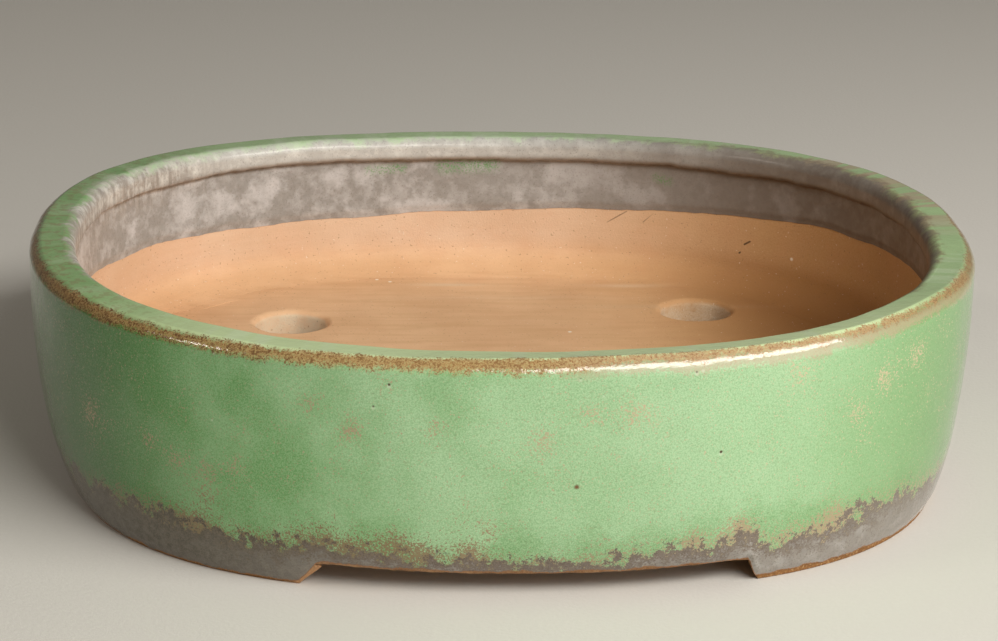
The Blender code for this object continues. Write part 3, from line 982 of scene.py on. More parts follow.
@dataclass(frozen=True)
class StonewareClay:
    """Buff stoneware clay, unglazed, wiped with a sponge and fired.

    It gives the eye a matt, slightly rosy tan with fine dark grog, a few white
    grits and faint wipe marks that follow the oval.

    Attributes:
        tan: The floor's colour.
        rosy: The upper wall, which dried and fired paler.
        shaded_golden: Painted shade: the right end of the wall, in shade, darker and golden.
        toast_and_shade: Darker patches, and painted shade in the floor's corners by the cove.
        grog: Dark specks, about 0.5 mm.
        grit: Pale specks.
    """

    tan: str = "#efc59b"
    rosy: str = "#e2c2a6"
    shaded_golden: str = "#bf8a3e"
    toast_and_shade: str = "#b98a5e"
    grog: str = "#8c6a48"
    grit: str = "#f3e6d2"

    def material(self, name: str) -> bpy.types.Material:
        """Make the bare clay.

        Args:
            name: Name of the material.

        Returns:
            The material.
        """
        material, tree = new_tree(name)
        place = put(tree, "TexCoord", {}, out="Object")
        side, height = (put(tree, "SeparateXYZ", {0: place}, out=axis) for axis in (0, 2))
        names = ("bore", "smear", "cove_shade")
        bore, smear, cove_shade = (put(tree, "Attribute", {}, out="Fac", attribute_name=n) for n in names)
        wipe = put(tree, "Attribute", {}, out="Vector", attribute_name="lay")
        patch = lumps(place, 38 * MM, 0.35, 0.68, 3.0)
        blush = lumps(place, 14 * MM, 0.40, 0.70, 3.0)
        fine = lumps(place, 0.6 * MM, 0.35, 0.68)
        grog = lumps(place, 0.7 * MM, 0.765, 0.81, 0.0)
        grit = lumps(place, 0.8 * MM, 0.80, 0.85, 0.0)
        ringed = put(tree, "Mapping", {"Vector": wipe, "Scale": (0.06, 0.06, 1.0)})
        marks = lumps(ringed, 2.6 * MM, 0.40, 0.66, 3.0)
        across = put(tree, "Mapping", {"Vector": place, "Scale": (0.10, 1.0, 1.0)})
        sweep = times(lumps(across, 3.5 * MM, 0.40, 0.70, 3.0), within(height, 0.026, 0.0245))
        shade = times(within(side, 0.040, 0.110), within(height, 0.040, 0.026))
        # painted light: the drain holes' bores paler, as lit, less so at the right, in shade
        bore_light = weighed(1.05, (blush, -0.60), (fine, -0.25), (within(side, 0.0, 0.06), -0.40))
        colour = layered(
            self.tan,
            (within(height, 0.025, 0.038), 1.0, self.rosy),
            # painted shade: the right end of the inner wall, turned from the lamps, darker and golden
            (within(side, 0.0, 0.125), 0.78, self.shaded_golden),
            (within(side, -0.08, -0.13), 0.30, "#c98f5c"),
            (patch, 0.24, self.toast_and_shade),
            (blush, 0.16, "#d49a74"),
            (fine, 0.14, "#eac9a4"),
            (marks, 0.08, "#c1946b"),
            (sweep, 0.25, "#c99a6c"),
            (shade, 0.74, "#925f2c"),
            # painted shade: darker where the floor meets the cove
            (cove_shade, 0.8, self.toast_and_shade),
            (smear, 0.55, "#e2ccae"),
            (bore, bore_light, "#e2cfb4"),
            (grog, 0.40, self.grog),
            (grit, 0.45, self.grit),
            (within(height, 0.0110, 0.0095), weighed(0.95, (blush, -0.30), (fine, -0.20)), "#744f2f"),
            (spots(place, WALL_CRACKS), 1.0, "#6a5238"),
            (spots(place, dots(CLAY_GRITS, 0.9)), 1.0, self.grit),
        )
        rough = weighed(0.80, (fine, 0.10))
        relief = weighed(0.5, (fine, 0.6), (marks, 0.25), (grog, -0.8), (grit, 0.6))
        close_tree(tree, colour, rough, relief, 0.07 * MM, IOR=1.45, Specular_IOR_Level=0.3)
        return material


@dataclass(frozen=True)
class FootClay:
    """The same clay, bare on the foot, where the kiln turned it a rusty brown.

    It gives the eye a rough broken edge under the glaze.

    Attributes:
        rust: Its usual colour.
        dark: Scorched grains.
        pale: Scraped grains.
    """

    rust: str = "#8f653c"
    dark: str = "#5d4026"
    pale: str = "#b08a5e"

    def material(self, name: str) -> bpy.types.Material:
        """Make the foot's clay.

        Args:
            name: Name of the material.

        Returns:
            The material.
        """
        material, tree = new_tree(name)
        place = put(tree, "TexCoord", {}, out="Object")
        grains = lumps(place, 1.1 * MM, 0.40, 0.66, 3.0)
        crumbs = lumps(place, 0.7 * MM, 0.52, 0.70, 1.0)
        patch = lumps(place, 9 * MM, 0.35, 0.68, 3.0)
        side = put(tree, "SeparateXYZ", {0: place}, out=0)
        broken = times(within(side, -0.0675, -0.0640), within(side, 0.0, -0.01))
        colour = layered(
            self.rust,
            (patch, 0.4, self.dark),
            (grains, 1.0, self.rust),
            (crumbs, 1.0, self.pale),
            (broken, 0.7, "#c79a72"),
        )
        rough = weighed(0.82, (grains, 0.1))
        relief = weighed(0.5, (grains, 0.8), (crumbs, 0.4))
        close_tree(tree, colour, rough, relief, 0.18 * MM, IOR=1.45, Specular_IOR_Level=0.3)
        return material


# ---- The pot's sub-assemblies


@dataclass
class GlazeCoat:
    """The glaze: green outside and over the crown, grey over the lip and the upper inside.

    Attributes:
        share: Stations round the oval.
        seam: Inset at which the two glaze pieces meet on the crown.
        over_cut: Height of its lower edge over the cut between the feet.
        over_left_foot: Height of its lower edge on the left foot.
        over_right_foot: Height of its lower edge on the right foot.
        thin_edge: Thickness that is left at an edge.
        thickens: Height above an edge at which it has its full thickness.
        core: How far the hidden back of the rim's glaze lies under its face.
        close: How near the hidden back of the wall's glaze comes to the clay.
        arris_power: Power of the superellipse that rounds the arris.
        worn_power: The same at the front right, where the arris is a soft bevel.
        worn_drop: How much higher that bevel is than the arris elsewhere.
        worn_span: Bearings at which the bevel starts, is full, fades and ends.
        bars_span: The same for the two stripes across the crown.
        outline: Points of the oval at the stations.
        ground: The same points on the ground, in space.
        turn: Bearing of each station.
        wild: 1 at the left end, where the lip is streaked and melts into the wall, 0 elsewhere.
    """

    share: np.ndarray
    seam: float = 0.01045
    over_cut: float = 0.0083
    over_left_foot: float = 0.0009
    over_right_foot: float = 0.0019
    thin_edge: float = 0.00025
    thickens: float = 0.0030
    core: float = 0.00095
    close: float = 0.00005
    arris_power: float = 1.55
    worn_power: float = 1.40
    worn_drop: float = 0.0018
    worn_span: tuple[float, ...] = (-25.0, 12.0, 50.0, 78.0)
    bars_span: tuple[float, ...] = (82.0, 96.0, 125.0, 140.0)
    outline: np.ndarray = field(init=False)
    ground: np.ndarray = field(init=False)
    turn: np.ndarray = field(init=False)
    wild: np.ndarray = field(init=False)

    def __post_init__(self) -> None:
        """Trace the oval at the stations."""
        self.outline = OVAL.at(self.share)[0]
        self.ground = np.column_stack([self.outline, np.zeros(len(self.share))])
        self.turn = bearing(self.outline)
        self.wild = smooth(-self.outline[:, 0], 0.090, 0.130)

    def thickness(self, above: np.ndarray) -> np.ndarray:
        """Thickness at a height above the edge: it swells from the thin edge."""
        return self.thin_edge + (SECTION.coat - self.thin_edge) * smooth(above, 0.0, self.thickens)

    def outside_height(self) -> np.ndarray:
        """Height of the glaze's lower edge at each station, with a ragged run of 0.3 mm."""
        x = carried(self.share, SECTION.face(np.array([0.0, SECTION.foot_height]), SECTION.coat))[..., 0]
        run = 0.20 * swell(self.ground, 0.009, 21) + 0.14 * swell(self.ground, 0.0035, 22)
        right = smooth(x[:, 0], -0.02, 0.02)
        over_foot = (1 - right) * self.over_left_foot + right * self.over_right_foot
        edge = FOOT_ENDS.lower_edge(x, over_foot, self.over_cut + cut_bow(x[:, 1]))
        return edge + np.clip(run, -0.4, 0.6) * MM

    def shoulder_and_crown(self) -> np.ndarray:
        """The rim from the top of the side over the arris to the seam, (stations, rows, 2).

        The arris is a quarter of a superellipse of power 1.55 on sides of 3.9 mm; at the
        front right the power is 1.40 and its height 5.7 mm, so that it is a soft bevel.
        """
        worn = span(self.turn, *self.worn_span)[:, None]
        quarter = np.radians(np.linspace(0.0, 90.0, 21))
        bend = 2 / (self.arris_power + (self.worn_power - self.arris_power) * worn)
        inset = SECTION.shoulder * (1 - np.cos(quarter) ** bend)
        drop = (SECTION.shoulder + self.worn_drop * worn) * (1 - np.sin(quarter) ** bend)
        crown = line((SECTION.shoulder, SECTION.rim_height), (self.seam, SECTION.rim_height), 11)[1:]
        crown = np.broadcast_to(crown, (len(self.share), *crown.shape))
        return np.concatenate([np.stack([inset, SECTION.rim_height - drop], axis=-1), crown], axis=1)

    def lip(self, fillet: float) -> np.ndarray:
        """The rim from the seam over the lip's round, face and lower edge, with a fillet under it."""
        face, bottom = SECTION.lip_face, SECTION.lip_bottom
        wall = SECTION.coat + SECTION.wall + SECTION.coat
        under = face - wall - fillet
        top = (face - SECTION.lip_round, SECTION.rim_height - SECTION.lip_round)
        low = (face - under, bottom + under)
        nook = (wall + fillet, bottom - fillet)
        return strand(
            line((self.seam, SECTION.rim_height), (top[0], SECTION.rim_height), 1),
            arc(top, SECTION.lip_round, 90, 0, 14),
            line((face, top[1]), (face, low[1]), 5),
            arc(low, under, 0, -90, 10),
            arc(nook, fillet, 90, 180, 8),
        )

    def build_outside(self, material: bpy.types.Material) -> bpy.types.Object:
        """The green coat: side, arris and crown, with its hidden back."""
        crown = self.shoulder_and_crown()
        edge, top = self.outside_height()[:, None], crown[:, :1, 1]
        z = edge + (top - edge) * np.linspace(0.0, 1.0, 58) ** 1.15
        side = SECTION.face(z, SECTION.coat - self.thickness(z - edge))
        back = SECTION.face(np.linspace(1.0, 0.0, 12) * (top - edge) + edge, SECTION.coat + self.close)
        under = SECTION.rim_height - self.core
        ledge = np.broadcast_to([(self.seam, under), (SECTION.shoulder, under)], (len(self.share), 2, 2))
        front = np.concatenate([side[:, :-1], crown], axis=1)
        skin = self._skin("glaze_outside", np.concatenate([front, ledge, back], axis=1), front.shape[1])
        return settle(skin.to_object(material), Slot.GREEN_GLAZE, "outer_glaze")

    def build_inside(self, material: bpy.types.Material) -> bpy.types.Object:
        """The grey coat: the lip and the band below it, ending in a slightly wavy line."""
        wild = self.wild[:, None, None]
        lip = (1 - wild) * self.lip(SECTION.lip_fillet) + wild * self.lip(SECTION.lip_fillet_left)
        end = np.interp(self.outline[:, 0], *(np.array(DIP_END).T * MM))
        end += (0.24 * swell(self.ground, 0.034, 31) + 0.07 * swell(self.ground, 0.005, 32)) * MM
        sag = (0.22 * swell(self.ground, 0.019, 33) + 0.10 * swell(self.ground, 0.006, 34)) * MM
        lip[..., 1] += sag[:, None] * smooth(-lip[..., 1], -SECTION.lip_bottom - 4 * MM, -SECTION.lip_bottom)
        start, end = lip[:, -1:, 1], end[:, None]
        z = start + (end - start) * np.linspace(0.0, 1.0, 24)[1:]
        clay = SECTION.coat + SECTION.wall
        band = SECTION.face(z, clay + self.thickness(z - end))
        back = SECTION.face(end + (start - end) * np.linspace(0.0, 1.0, 5), clay - self.close)
        inner, under = SECTION.lip_face - self.core, SECTION.rim_height - self.core
        hidden = [
            (inner - 1.4 * MM, SECTION.lip_bottom + self.core),
            (inner, SECTION.lip_bottom + 2.3 * MM),
            (inner, SECTION.rim_height - 3.7 * MM),
            (inner - 2.8 * MM, under),
            (self.seam, under),
        ]
        hidden = np.broadcast_to(hidden, (len(self.share), len(hidden), 2))
        front = np.concatenate([lip, band], axis=1)
        profile = np.concatenate([front, back, hidden], axis=1)
        skin = self._skin("glaze_inside", profile, front.shape[1], inner=True)
        return settle(skin.to_object(material), Slot.GREY_GLAZE, "inner_glaze")

    def _skin(self, name: str, profile: np.ndarray, shown: int, inner: bool = False) -> Skin:
        """Carry a coat's profile round and give it the values its material reads.

        The green's lower end follows GREEN_END in front and waves about 14.5 mm behind.

        Args:
            name: The piece's name.
            profile: (stations, rows, 2).
            shown: How many of the rows are the coat's face.
            inner: Whether the coat starts at the seam instead of the foot.

        Returns:
            The piece as arrays.
        """
        count, rows = profile.shape[:2]
        run = np.cumsum(np.hypot(*np.moveaxis(np.diff(profile, axis=1), -1, 0)), axis=1)
        run = np.concatenate([np.zeros((count, 1)), run], axis=1)
        seam_run = SECTION.shoulder * math.pi / 4 + self.seam - SECTION.shoulder
        rim = (run + seam_run if inner else run - run[:, shown - 1 : shown] + seam_run) / MM
        rim[:, shown:] = rim[:, shown - 1 : shown]
        grid = tilted(fired(pressed(self.share, carried(self.share, profile))), profile[..., 0])
        x, y = self.outline.T
        end = np.interp(x, *(np.array(GREEN_END).T * [[MM], [1.0]]))
        behind = 14.5 + 2.0 * np.sin(x * 70.0) + 1.2 * np.sin(x * 190.0 + 1.0)
        above = profile[..., 1] / MM - np.where(y > 0.02, behind, end)[:, None]
        bare = np.full_like(rim, 9.0) if inner else (profile[..., 1] - profile[:, :1, 1]) / MM
        flat = grid.reshape(-1, 3)
        patches = np.array(ROSE_PATCHES)
        reach = np.linalg.norm(flat[:, None] / MM - patches[None, :, :3], axis=2) / patches[None, :, 3]
        plan = np.repeat(self.outline[:, None], rows, axis=1)
        values = {
            "rim_mm": rim.ravel(),
            "green_mm": above.ravel(),
            "bare_mm": bare.ravel(),
            "meet_mm": np.repeat(np.interp(self.turn, *np.array(CROWN_END).T), rows),
            "wild": np.repeat(self.wild, rows),
            "bars": np.repeat(span(self.turn, *self.bars_span), rows),
            "rose": np.exp(-(reach**2)).sum(axis=1),
            "lay": np.concatenate([plan, rim[..., None] * MM], axis=-1).reshape(-1, 3),
        }
        return Skin(name, flat, grid_faces(count, rows, True, True), values=values)


@dataclass
class ClayBody:
    """The bare clay: side wall, cove in the seam, floor slab and the lip's core.

    Attributes:
        share: Stations round the oval.
        rim_round: Radius of the clay's outer edge at the rim, under the glaze.
        edge_round: Radius of the wall's lower edges at the cut.
        hole_radius: Radius of the drain holes' bore.
        hole_soft: Radius of the holes' sponged edges.
        holes: Centres of the four drain holes, one in each quarter of the floor.
        quarter: Steps of the floor's border along a quarter of the oval.
        smears: Pale wipe marks on the floor, each x, y and two half lengths in
            millimetres, and its strength.
    """

    share: np.ndarray
    rim_round: float = 0.0046
    edge_round: float = 0.0004
    hole_radius: float = 0.0115
    hole_soft: float = 0.0022
    holes: tuple[tuple[float, float], ...] = (
        (-0.0690, 0.0545),
        (0.0727, 0.0672),
        (-0.0727, -0.0672),
        (0.0690, -0.0545),
    )
    quarter: int = 90
    smears: tuple[tuple[float, ...], ...] = (
        (-13.5, 94.8, 12.0, 1.6, 1.0),
        (51.0, 93.8, 12.0, 1.8, 0.8),
        (5.0, 80.0, 40.0, 2.0, 0.25),
        (60.0, 70.0, 30.0, 2.2, 0.25),
    )

    def build_wall(self, material: bpy.types.Material) -> bpy.types.Object:
        """The side wall, with its square seat for the slab and rounded lower edges."""
        low, top, soft = SECTION.foot_height, SECTION.rim_height - SECTION.coat, self.edge_round
        seat = SECTION.clay_inside(SECTION.floor_bottom)
        outer_low = SECTION.coat + SECTION.lean(low)
        profile = strand(
            SECTION.face(np.linspace(low + soft, top - self.rim_round, 26), SECTION.coat),
            arc((SECTION.coat + self.rim_round, top - self.rim_round), self.rim_round, 180, 90, 5),
            SECTION.face(np.linspace(top, SECTION.floor_top, 48), SECTION.coat + SECTION.wall),
            line((seat, SECTION.floor_top), (seat, low + soft), 8),
            arc((seat - soft, low + soft), soft, 0, -90, 3),
            line((seat - soft, low), (outer_low + soft, low), 4),
            arc((outer_low + soft, low + soft), soft, 270, 180, 3),
        )
        skin = self._ring("clay_wall", profile)
        near = smooth(skin.points[:, 2], low + 3.0 * MM, low + 0.3 * MM)
        skin.points[:, 2] += near * cut_bow(skin.points[:, 0])
        return settle(skin.to_object(material), Slot.BARE_CLAY, "body_wall")

    def build_cove(self, material: bpy.types.Material) -> bpy.types.Object:
        """The coil smoothed into a cove, a cubic curve tangent to the wall and the floor.

        Both ends run on a little, just under the wall and the floor, so that the
        clay reads as one.
        """
        low, high = SECTION.floor_top, SECTION.floor_top + SECTION.cove
        beyond = high + 1.6 * MM
        wall, corner = SECTION.clay_inside(high), SECTION.clay_inside(low)
        tilt = SECTION.clay_inside(high - MM) - wall
        start, end = np.array([wall, high]), np.array([corner + 1.35 * SECTION.cove, low])
        pull = 0.60 * SECTION.cove
        first = start + pull * np.array([tilt, -MM]) / math.hypot(tilt, MM)
        second = end - pull * np.array([1.0, 0.0])
        t = np.linspace(0.0, 1.0, 23)[:, None]
        back = 1 - t
        curve = back**3 * start + 3 * back**2 * t * first + 3 * back * t**2 * second + t**3 * end
        hidden = [
            (end[0] + 2.0 * MM, low - 0.10 * MM),
            (end[0] + 2.0 * MM, low - 0.5 * MM),
            (corner - 0.3 * MM, low - 0.5 * MM),
            (wall - 0.5 * MM, beyond),
        ]
        above = [(SECTION.clay_inside(beyond) - 0.12 * MM, beyond)]
        skin = self._ring("clay_cove", np.concatenate([above, curve, hidden]))
        return settle(skin.to_object(material), Slot.BARE_CLAY, "seam_coil")

    def build_floor(self, material: bpy.types.Material) -> bpy.types.Object:
        """The slab, one patch for each quarter with its drain hole in it.

        A patch runs from the quarter's border to its hole along straight lines
        to the hole's centre, over the soft edge, down the bore and back below.
        """
        top, bottom = SECTION.floor_top, SECTION.floor_bottom
        share = np.arange(4 * self.quarter) / (4 * self.quarter)
        seat = SECTION.clay_inside(bottom) + 0.3 * MM
        side = carried(share, np.array([[seat, (top + bottom) / 2]]))[:, 0, :2]
        grids = [self._patch(np.array(hole), self._border(side, hole), top, bottom) for hole in self.holes]
        wall = [np.column_stack([side, np.full(len(side), z)]) for z in (bottom, top)]
        grids.append(np.stack(wall, axis=1))
        starts = np.cumsum([0] + [grid.shape[0] * grid.shape[1] for grid in grids])
        quads = [grid_faces(*grid.shape[:2], True, False) + start for grid, start in zip(grids, starts)]
        flat = np.concatenate([grid.reshape(-1, 3) for grid in grids])
        bore = smooth(np.abs(flat[:, 2] - (top + bottom) / 2), 0.0, SECTION.floor_thickness / 2)
        flat[:, 2] += 0.10 * MM * bore * swell(flat * [1, 1, 0], 0.030, 41)
        skin = Skin("clay_floor", flat, np.concatenate(quads), values=self._values(flat), mixed=True)
        return settle(skin.to_object(material), Slot.BARE_CLAY, "floor_slab")

    def dress_lip(self, material: bpy.types.Material) -> None:
        """The lip's core is all under the glaze: its solid stays and takes the clay."""
        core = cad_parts["rim_lip"]
        core.data.materials.clear()
        core.data.materials.append(material)
        LOG.info("rim_lip: solid kept under the glaze")

    def _ring(self, name: str, profile: np.ndarray) -> Skin:
        """Carry a closed profile round and give it the clay's values."""
        grid = fired(pressed(self.share, carried(self.share, profile)))
        steps = np.hypot(*np.diff(profile, axis=0).T)
        run = np.concatenate(([0.0], np.cumsum(steps)))
        plan = np.repeat(OVAL.at(self.share)[0][:, None], len(profile), axis=1)
        run = np.broadcast_to(run[None, :, None], (*grid.shape[:2], 1))
        flat = grid.reshape(-1, 3)
        values = self._values(flat) | {"lay": np.concatenate([plan, run], axis=-1).reshape(-1, 3)}
        return Skin(name, flat, grid_faces(*grid.shape[:2], True, True), values=values)

    def _border(self, side: np.ndarray, hole: tuple[float, float]) -> np.ndarray:
        """Border of a hole's quarter of the slab: along one axis, round the arc, back along the other."""
        start = {(1, 1): 0, (-1, 1): 1, (-1, -1): 2, (1, -1): 3}[tuple(np.sign(hole).astype(int))]
        arc_points = side[(start * self.quarter + np.arange(self.quarter + 1)) % len(side)]
        first = line((0.0, 0.0), arc_points[0], 56)[:-1]
        last = line(arc_points[-1], (0.0, 0.0), 56)[1:-1]
        return np.concatenate([first, arc_points, last])

    def _patch(self, centre: np.ndarray, border: np.ndarray, top: float, bottom: float) -> np.ndarray:
        """Grid of one quarter: rows go in over the top, through the hole and out below.

        Each row has a radius, a height and the part of the way from that radius
        to the border at which it lies; the radii wobble as a hand-cut hole does.

        Args:
            centre: The hole's centre.
            border: Closed border of the quarter, (points, 2).
            top: Height of the slab's upper face.
            bottom: Height of its lower face.

        Returns:
            Points, (points, rows, 3).
        """
        away = border - centre
        distance = np.linalg.norm(away, axis=1, keepdims=True)
        heading = away / distance
        angle = np.arctan2(heading[:, 1:], heading[:, :1])
        wobble = 0.75 * np.cos(2 * angle - 0.2) + 0.18 * np.sin(3 * angle + 50 * centre[1])
        wobble = (wobble + 0.12 * np.sin(7 * angle + 30 * centre[0])) * MM
        mouth = self.hole_radius + self.hole_soft
        soft = arc((mouth, -self.hole_soft), self.hole_soft, 90, 180, 6)
        upper, lower = soft + [0.0, top], (soft * [1, -1] + [0.0, bottom])[::-1]
        circles = np.concatenate([upper, line(upper[-1], lower[0], 7)[1:], lower[1:]])
        above, below = np.linspace(1.0, 0.0, 30)[:-1] ** 1.15, np.linspace(0.0, 1.0, 10)[1:]
        part = np.concatenate([above, np.zeros(len(circles)), below])
        outer, inner = np.tile([mouth, top], (len(above), 1)), np.tile([mouth, bottom], (len(below), 1))
        radius, z = np.concatenate([outer, circles, inner]).T
        reach = distance * part + (1 - part) * (radius + wobble)
        plan = centre + reach[..., None] * heading[:, None, :]
        return np.concatenate([plan, np.broadcast_to(z[:, None], (*reach.shape, 1))], axis=-1)

    def _values(self, flat: np.ndarray) -> dict[str, np.ndarray]:
        """Wipe marks on the floor, painted shade in its corners and the bores, as soft shapes."""
        marks = np.array(self.smears) * [MM, MM, MM, MM, 1.0]
        gap = (flat[:, None, :2] - marks[None, :, :2]) / marks[None, :, 2:4]
        near = np.exp(-(gap**2).sum(axis=2)) * marks[:, 4]
        above = flat[:, 2] - SECTION.floor_top
        level = np.exp(-((above / (3 * MM)) ** 2))
        # painted shade in the floor's corners, strongest 3 mm above the floor
        corner = smooth(np.abs(above - 3 * MM), 6 * MM, 0.0)
        away = np.linalg.norm(flat[:, None, :2] - np.array(self.holes), axis=2).min(axis=1)
        bore = smooth(away - self.hole_radius, 2.7 * MM, 1.3 * MM) * smooth(above, -0.8 * MM, -1.8 * MM)
        return {"smear": near.sum(axis=1) * level, "cove_shade": 0.35 * corner, "bore": bore, "lay": flat}


@dataclass
class Feet:
    """The two feet, one round each end, left by the long cuts in front and behind.

    Attributes:
        edge: Radius of the worn lower edges and of the ends.
        stations: Number of stations along a foot.
        tip: Part of a foot's length at each end that has closer stations.
        length: Length over which the rounding of the ends is measured.
    """

    edge: float = 0.0008
    stations: int = 240
    tip: float = 0.012
    length: float = 0.30

    def section(self) -> np.ndarray:
        """Closed profile of a foot, (inset, height), from the lower outer edge up and round."""
        outside = SECTION.face(np.linspace(self.edge, SECTION.foot_height, 9), SECTION.coat)
        back = SECTION.coat + SECTION.foot_width
        inside = SECTION.face(np.linspace(SECTION.foot_height, self.edge, 7), back)
        outer, inner = outside[0, 0] + self.edge, inside[-1, 0] - self.edge
        return strand(
            arc((outer, self.edge), self.edge, 270, 180, 5),
            outside,
            inside,
            arc((inner, self.edge), self.edge, 0, -90, 5),
            line((inner, 0.0), (outer, 0.0), 5)[1:-1],
        )

    def end_shares(self, side: Side, profile: np.ndarray) -> tuple[np.ndarray, np.ndarray]:
        """Shares at which each profile row meets the foot's two end faces.

        A row's curve crosses the end face where its x equals the face's x at
        the row's height; the crossing is found by interpolation along the row.

        Args:
            side: Which end of the pot.
            profile: (rows, 2).

        Returns:
            First and last share of each row, counterclockwise.
        """
        share = np.linspace(0.0, 1.0, 4001)
        x = carried(share, profile)[..., 0]
        wanted = FOOT_ENDS.x_at(side, profile[:, 1])
        back, front = share <= 0.5, share >= 0.5
        behind = np.array([np.interp(-w, -row[back], share[back]) for w, row in zip(wanted, x.T)])
        ahead = np.array([np.interp(w, row[front], share[front]) for w, row in zip(wanted, x.T)])
        return (behind, ahead) if side is Side.LEFT else (ahead - 1.0, behind)

    def build(self, side: Side, material: bpy.types.Material) -> bpy.types.Object:
        """One foot: its profile carried from end to end, rounded off at both.

        Near an end the profile shrinks about its middle by
        r (1 - sqrt(1 - e^2)), where e runs from 0 to 1 over the rounding.
        """
        profile = self.section()
        first, last = self.end_shares(side, profile)
        tip = np.linspace(0.0, self.tip, 7)[:-1]
        t = np.concatenate([tip, np.linspace(self.tip, 1 - self.tip, self.stations), (1 - tip)[::-1]])
        share = first + (last - first) * t[:, None]
        e = np.clip(1 - np.minimum(t, 1 - t) * self.length / self.edge, 0.0, 1.0)
        shrink = self.edge * (1 - np.sqrt(1 - e**2))
        pull = (profile.min(axis=0) + profile.max(axis=0)) / 2 - profile
        pull /= np.maximum(np.linalg.norm(pull, axis=1, keepdims=True), TINY)
        moved = profile + shrink[:, None, None] * pull
        grid = carried(share, moved)
        rough = 0.10 * MM * swell(grid, 0.006, 51 + side.value) * (moved[..., 1] > MM)
        grid[..., :2] += rough[..., None] * OVAL.at(share)[1]
        count, rows = share.shape
        caps = [list(range(rows)), [(count - 1) * rows + r for r in range(rows)][::-1]]
        quads = grid_faces(count, rows, False, True)
        skin = Skin(f"foot_clay_{side.name.lower()}", grid.reshape(-1, 3), quads, caps, mixed=True)
        return settle(skin.to_object(material), Slot.FOOT_CLAY, f"foot_{side.name.lower()}")


# ---- Studio


@dataclass(frozen=True)
class Lamp:
    """A soft box aimed at the pot.

    Attributes:
        name: Its name.
        azimuth: Degrees from the front towards the right.
        elevation: Degrees above the horizon.
        distance: Metres from the pot.
        size: Width and height in metres.
        power: Watts.
        colour: Hex code.
    """

    name: str
    azimuth: float
    elevation: float
    distance: float
    size: tuple[float, float]
    power: float
    colour: str = "#ffffff"


def direction(azimuth: float, elevation: float) -> Vector:
    """Unit vector towards a place seen from the pot; azimuth 0 is the front."""
    a, e = math.radians(azimuth), math.radians(elevation)
    return Vector((math.sin(a) * math.cos(e), -math.cos(a) * math.cos(e), math.sin(e)))


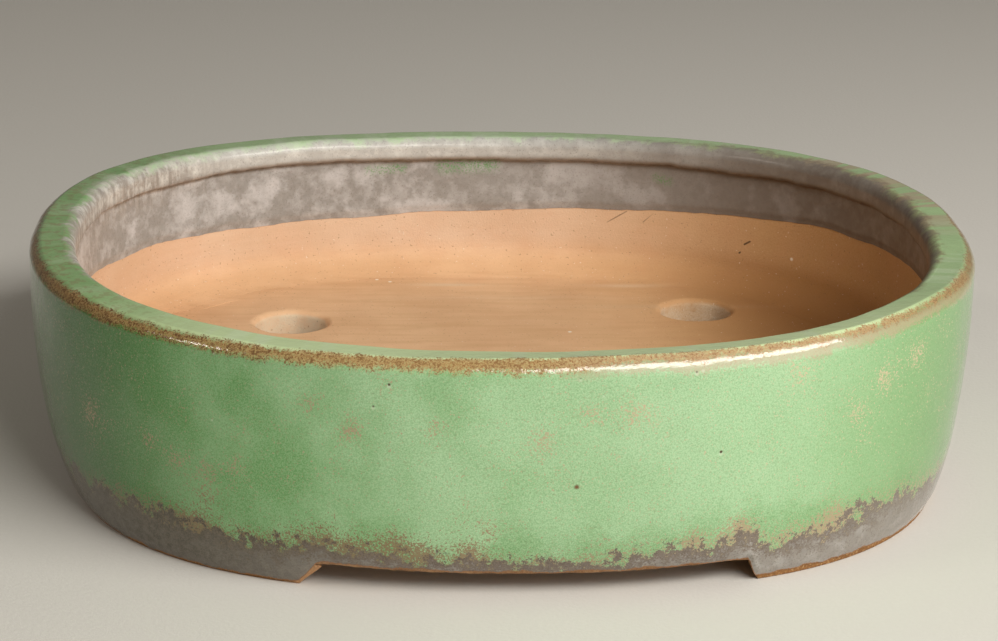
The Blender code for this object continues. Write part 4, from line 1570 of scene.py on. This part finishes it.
@dataclass(frozen=True)
class Studio:
    """Pale floor, soft lamps and the camera.

    The camera stands where the outline of rim, wall, feet and holes was fitted:
    distance from a point on the pot's axis, azimuth, elevation and roll, with
    the pixel of the 998 x 641 frame at which that point shows.

    Attributes:
        frame_width: Width of the frame in pixels.
        frame_height: Height of the frame in pixels.
        focal_pixels: Focal length in pixels.
        sensor: Sensor width in millimetres.
        aim_height: Height of the aimed point on the pot's axis, in metres.
        aim_pixel: Pixel at which that point shows.
        azimuth: Degrees of the camera from the front towards the right.
        elevation: Degrees of the camera above the horizon.
        roll: Degrees by which the frame is turned.
        distance: Metres from the aimed point.
        lamps: The soft boxes.
        floor_colour: Hex code of the paper.
        sky_colour: Hex code of the surroundings.
        sky_strength: Their brightness.
    """

    frame_width: int = 998
    frame_height: int = 641
    focal_pixels: float = 2720.46
    sensor: float = 36.0
    aim_height: float = 0.037526
    aim_pixel: tuple[float, float] = (500.399, 337.374)
    azimuth: float = -3.5
    elevation: float = 19.558
    roll: float = -1.1395
    distance: float = 0.8868
    lamps: tuple[Lamp, ...] = (
        Lamp("key", 44.0, 22.0, 1.30, (1.30, 0.80), 5.0, "#fffcf6"),
        Lamp("strip", 40.0, 38.0, 1.30, (1.25, 0.30), 16.5, "#fffcf6"),
        Lamp("side", -66.0, 36.0, 1.60, (0.36, 0.07), 2.2, "#fff6ea"),
    )
    floor_colour: str = "#d9d6d0"
    sky_colour: str = "#d8cfc2"
    sky_strength: float = 0.20

    def build(self) -> None:
        """Make floor, lamps, surroundings and camera."""
        self._floor()
        for lamp in self.lamps:
            self._lamp(lamp)
        self._sky()
        self._camera()

    def _floor(self) -> None:
        """A wide disc: rings of points at growing radii, with fine paper grain."""
        radii = np.array([0.0005, 0.2, 0.6, 1.5, 3.0, 6.0])
        spokes = 96
        turn = np.arange(spokes) / spokes * 2 * math.pi
        x, y = np.outer(np.cos(turn), radii), np.outer(np.sin(turn), radii)
        points = np.stack([x, y, np.zeros_like(x)], axis=-1)
        material, tree = new_tree("seamless_paper")
        place = put(tree, "TexCoord", {}, out="Object")
        fibre = lumps(place, 1.5 * MM, 0.3, 0.7)
        colour = layered(self.floor_colour, (fibre, 0.10, "#cbc7bf"))
        close_tree(tree, colour, 0.9, fibre, 0.03 * MM, Specular_IOR_Level=0.15)
        mesh = bpy.data.meshes.new("studio_floor")
        faces = grid_faces(*x.shape, True, False).tolist() + [list(range(0, x.size, radii.size))]
        mesh.from_pydata(points.reshape(-1, 3).tolist(), [], faces)
        mesh.materials.append(material)
        floor = bpy.data.objects.new("studio_floor", mesh)
        bpy.context.scene.collection.objects.link(floor)

    def _lamp(self, lamp: Lamp) -> None:
        """One rectangular soft box, facing the pot."""
        light = bpy.data.lights.new(lamp.name, "AREA")
        light.shape = "RECTANGLE"
        light.size, light.size_y = lamp.size
        light.energy = lamp.power
        light.color = linear(lamp.colour)[:3]
        box = bpy.data.objects.new(lamp.name, light)
        towards = direction(lamp.azimuth, lamp.elevation)
        box.location = towards * lamp.distance + Vector((0, 0, self.aim_height))
        box.rotation_euler = towards.to_track_quat("Z", "Y").to_euler()
        bpy.context.scene.collection.objects.link(box)

    def _sky(self) -> None:
        """Even surroundings, a soft fill on the pot."""
        world = bpy.data.worlds.new("studio")
        world.use_nodes = True
        tree = world.node_tree
        tree.nodes.clear()
        surface = put(tree, "Background", {"Color": linear(self.sky_colour), "Strength": self.sky_strength})
        put(tree, "OutputWorld", {"Surface": surface})
        bpy.context.scene.world = world

    def _camera(self) -> None:
        """Point the camera so that the aim point falls on its pixel.

        The view axes start level, turn by the roll, and are then swung by the
        small rotation that takes the optical axis to the aim pixel's ray.
        """
        back = direction(self.azimuth, self.elevation)
        right = (-back).cross(Vector((0, 0, 1))).normalized()
        up = right.cross(-back)
        level = Matrix((right, up, -back))
        roll = math.radians(self.roll)
        turn = Matrix(((math.cos(roll), -math.sin(roll), 0), (math.sin(roll), math.cos(roll), 0), (0, 0, 1)))
        ray = Vector(
            (
                (self.aim_pixel[0] - self.frame_width / 2) / self.focal_pixels,
                -(self.aim_pixel[1] - self.frame_height / 2) / self.focal_pixels,
                1.0,
            )
        ).normalized()
        swing = Vector((0, 0, 1)).rotation_difference(ray).to_matrix()
        axes = swing @ turn @ level
        data = bpy.data.cameras.new("camera")
        data.sensor_fit = "HORIZONTAL"
        data.sensor_width = self.sensor
        data.lens = self.focal_pixels * self.sensor / self.frame_width
        data.clip_start, data.clip_end = 0.01, 50.0
        camera = bpy.data.objects.new("camera", data)
        turned = Matrix((axes[0], axes[1], -axes[2])).transposed()
        camera.matrix_world = Matrix.Translation(
            Vector((0, 0, self.aim_height)) + back * self.distance
        ) @ turned.to_4x4()
        bpy.context.scene.collection.objects.link(camera)
        bpy.context.scene.camera = camera


def main() -> None:
    """Build the pot's sub-assemblies in the order a potter would, then the studio."""
    logging.basicConfig(level=logging.INFO, format="%(message)s")
    bpy.context.scene.view_settings.view_transform = "Standard"
    clay = StonewareClay().material("unglazed_buff_stoneware")
    foot_clay = FootClay().material("scorched_foot_stoneware")
    glaze = PouredGlaze()
    green = glaze.material("apple_green_poured_glaze", rough=0.40, coat=1.0, coat_rough=0.08)
    grey = glaze.material("taupe_grey_poured_glaze", rough=0.50, coat=0.60, coat_rough=0.26)
    share = ring_stations()
    body = ClayBody(share)
    body.build_wall(clay)
    body.build_floor(clay)
    body.build_cove(clay)
    body.dress_lip(clay)
    feet = Feet()
    for side in Side:
        feet.build(side, foot_clay)
    coat = GlazeCoat(share)
    coat.build_outside(green)
    coat.build_inside(grey)
    Studio().build()


if __name__ == "__main__":
    main()
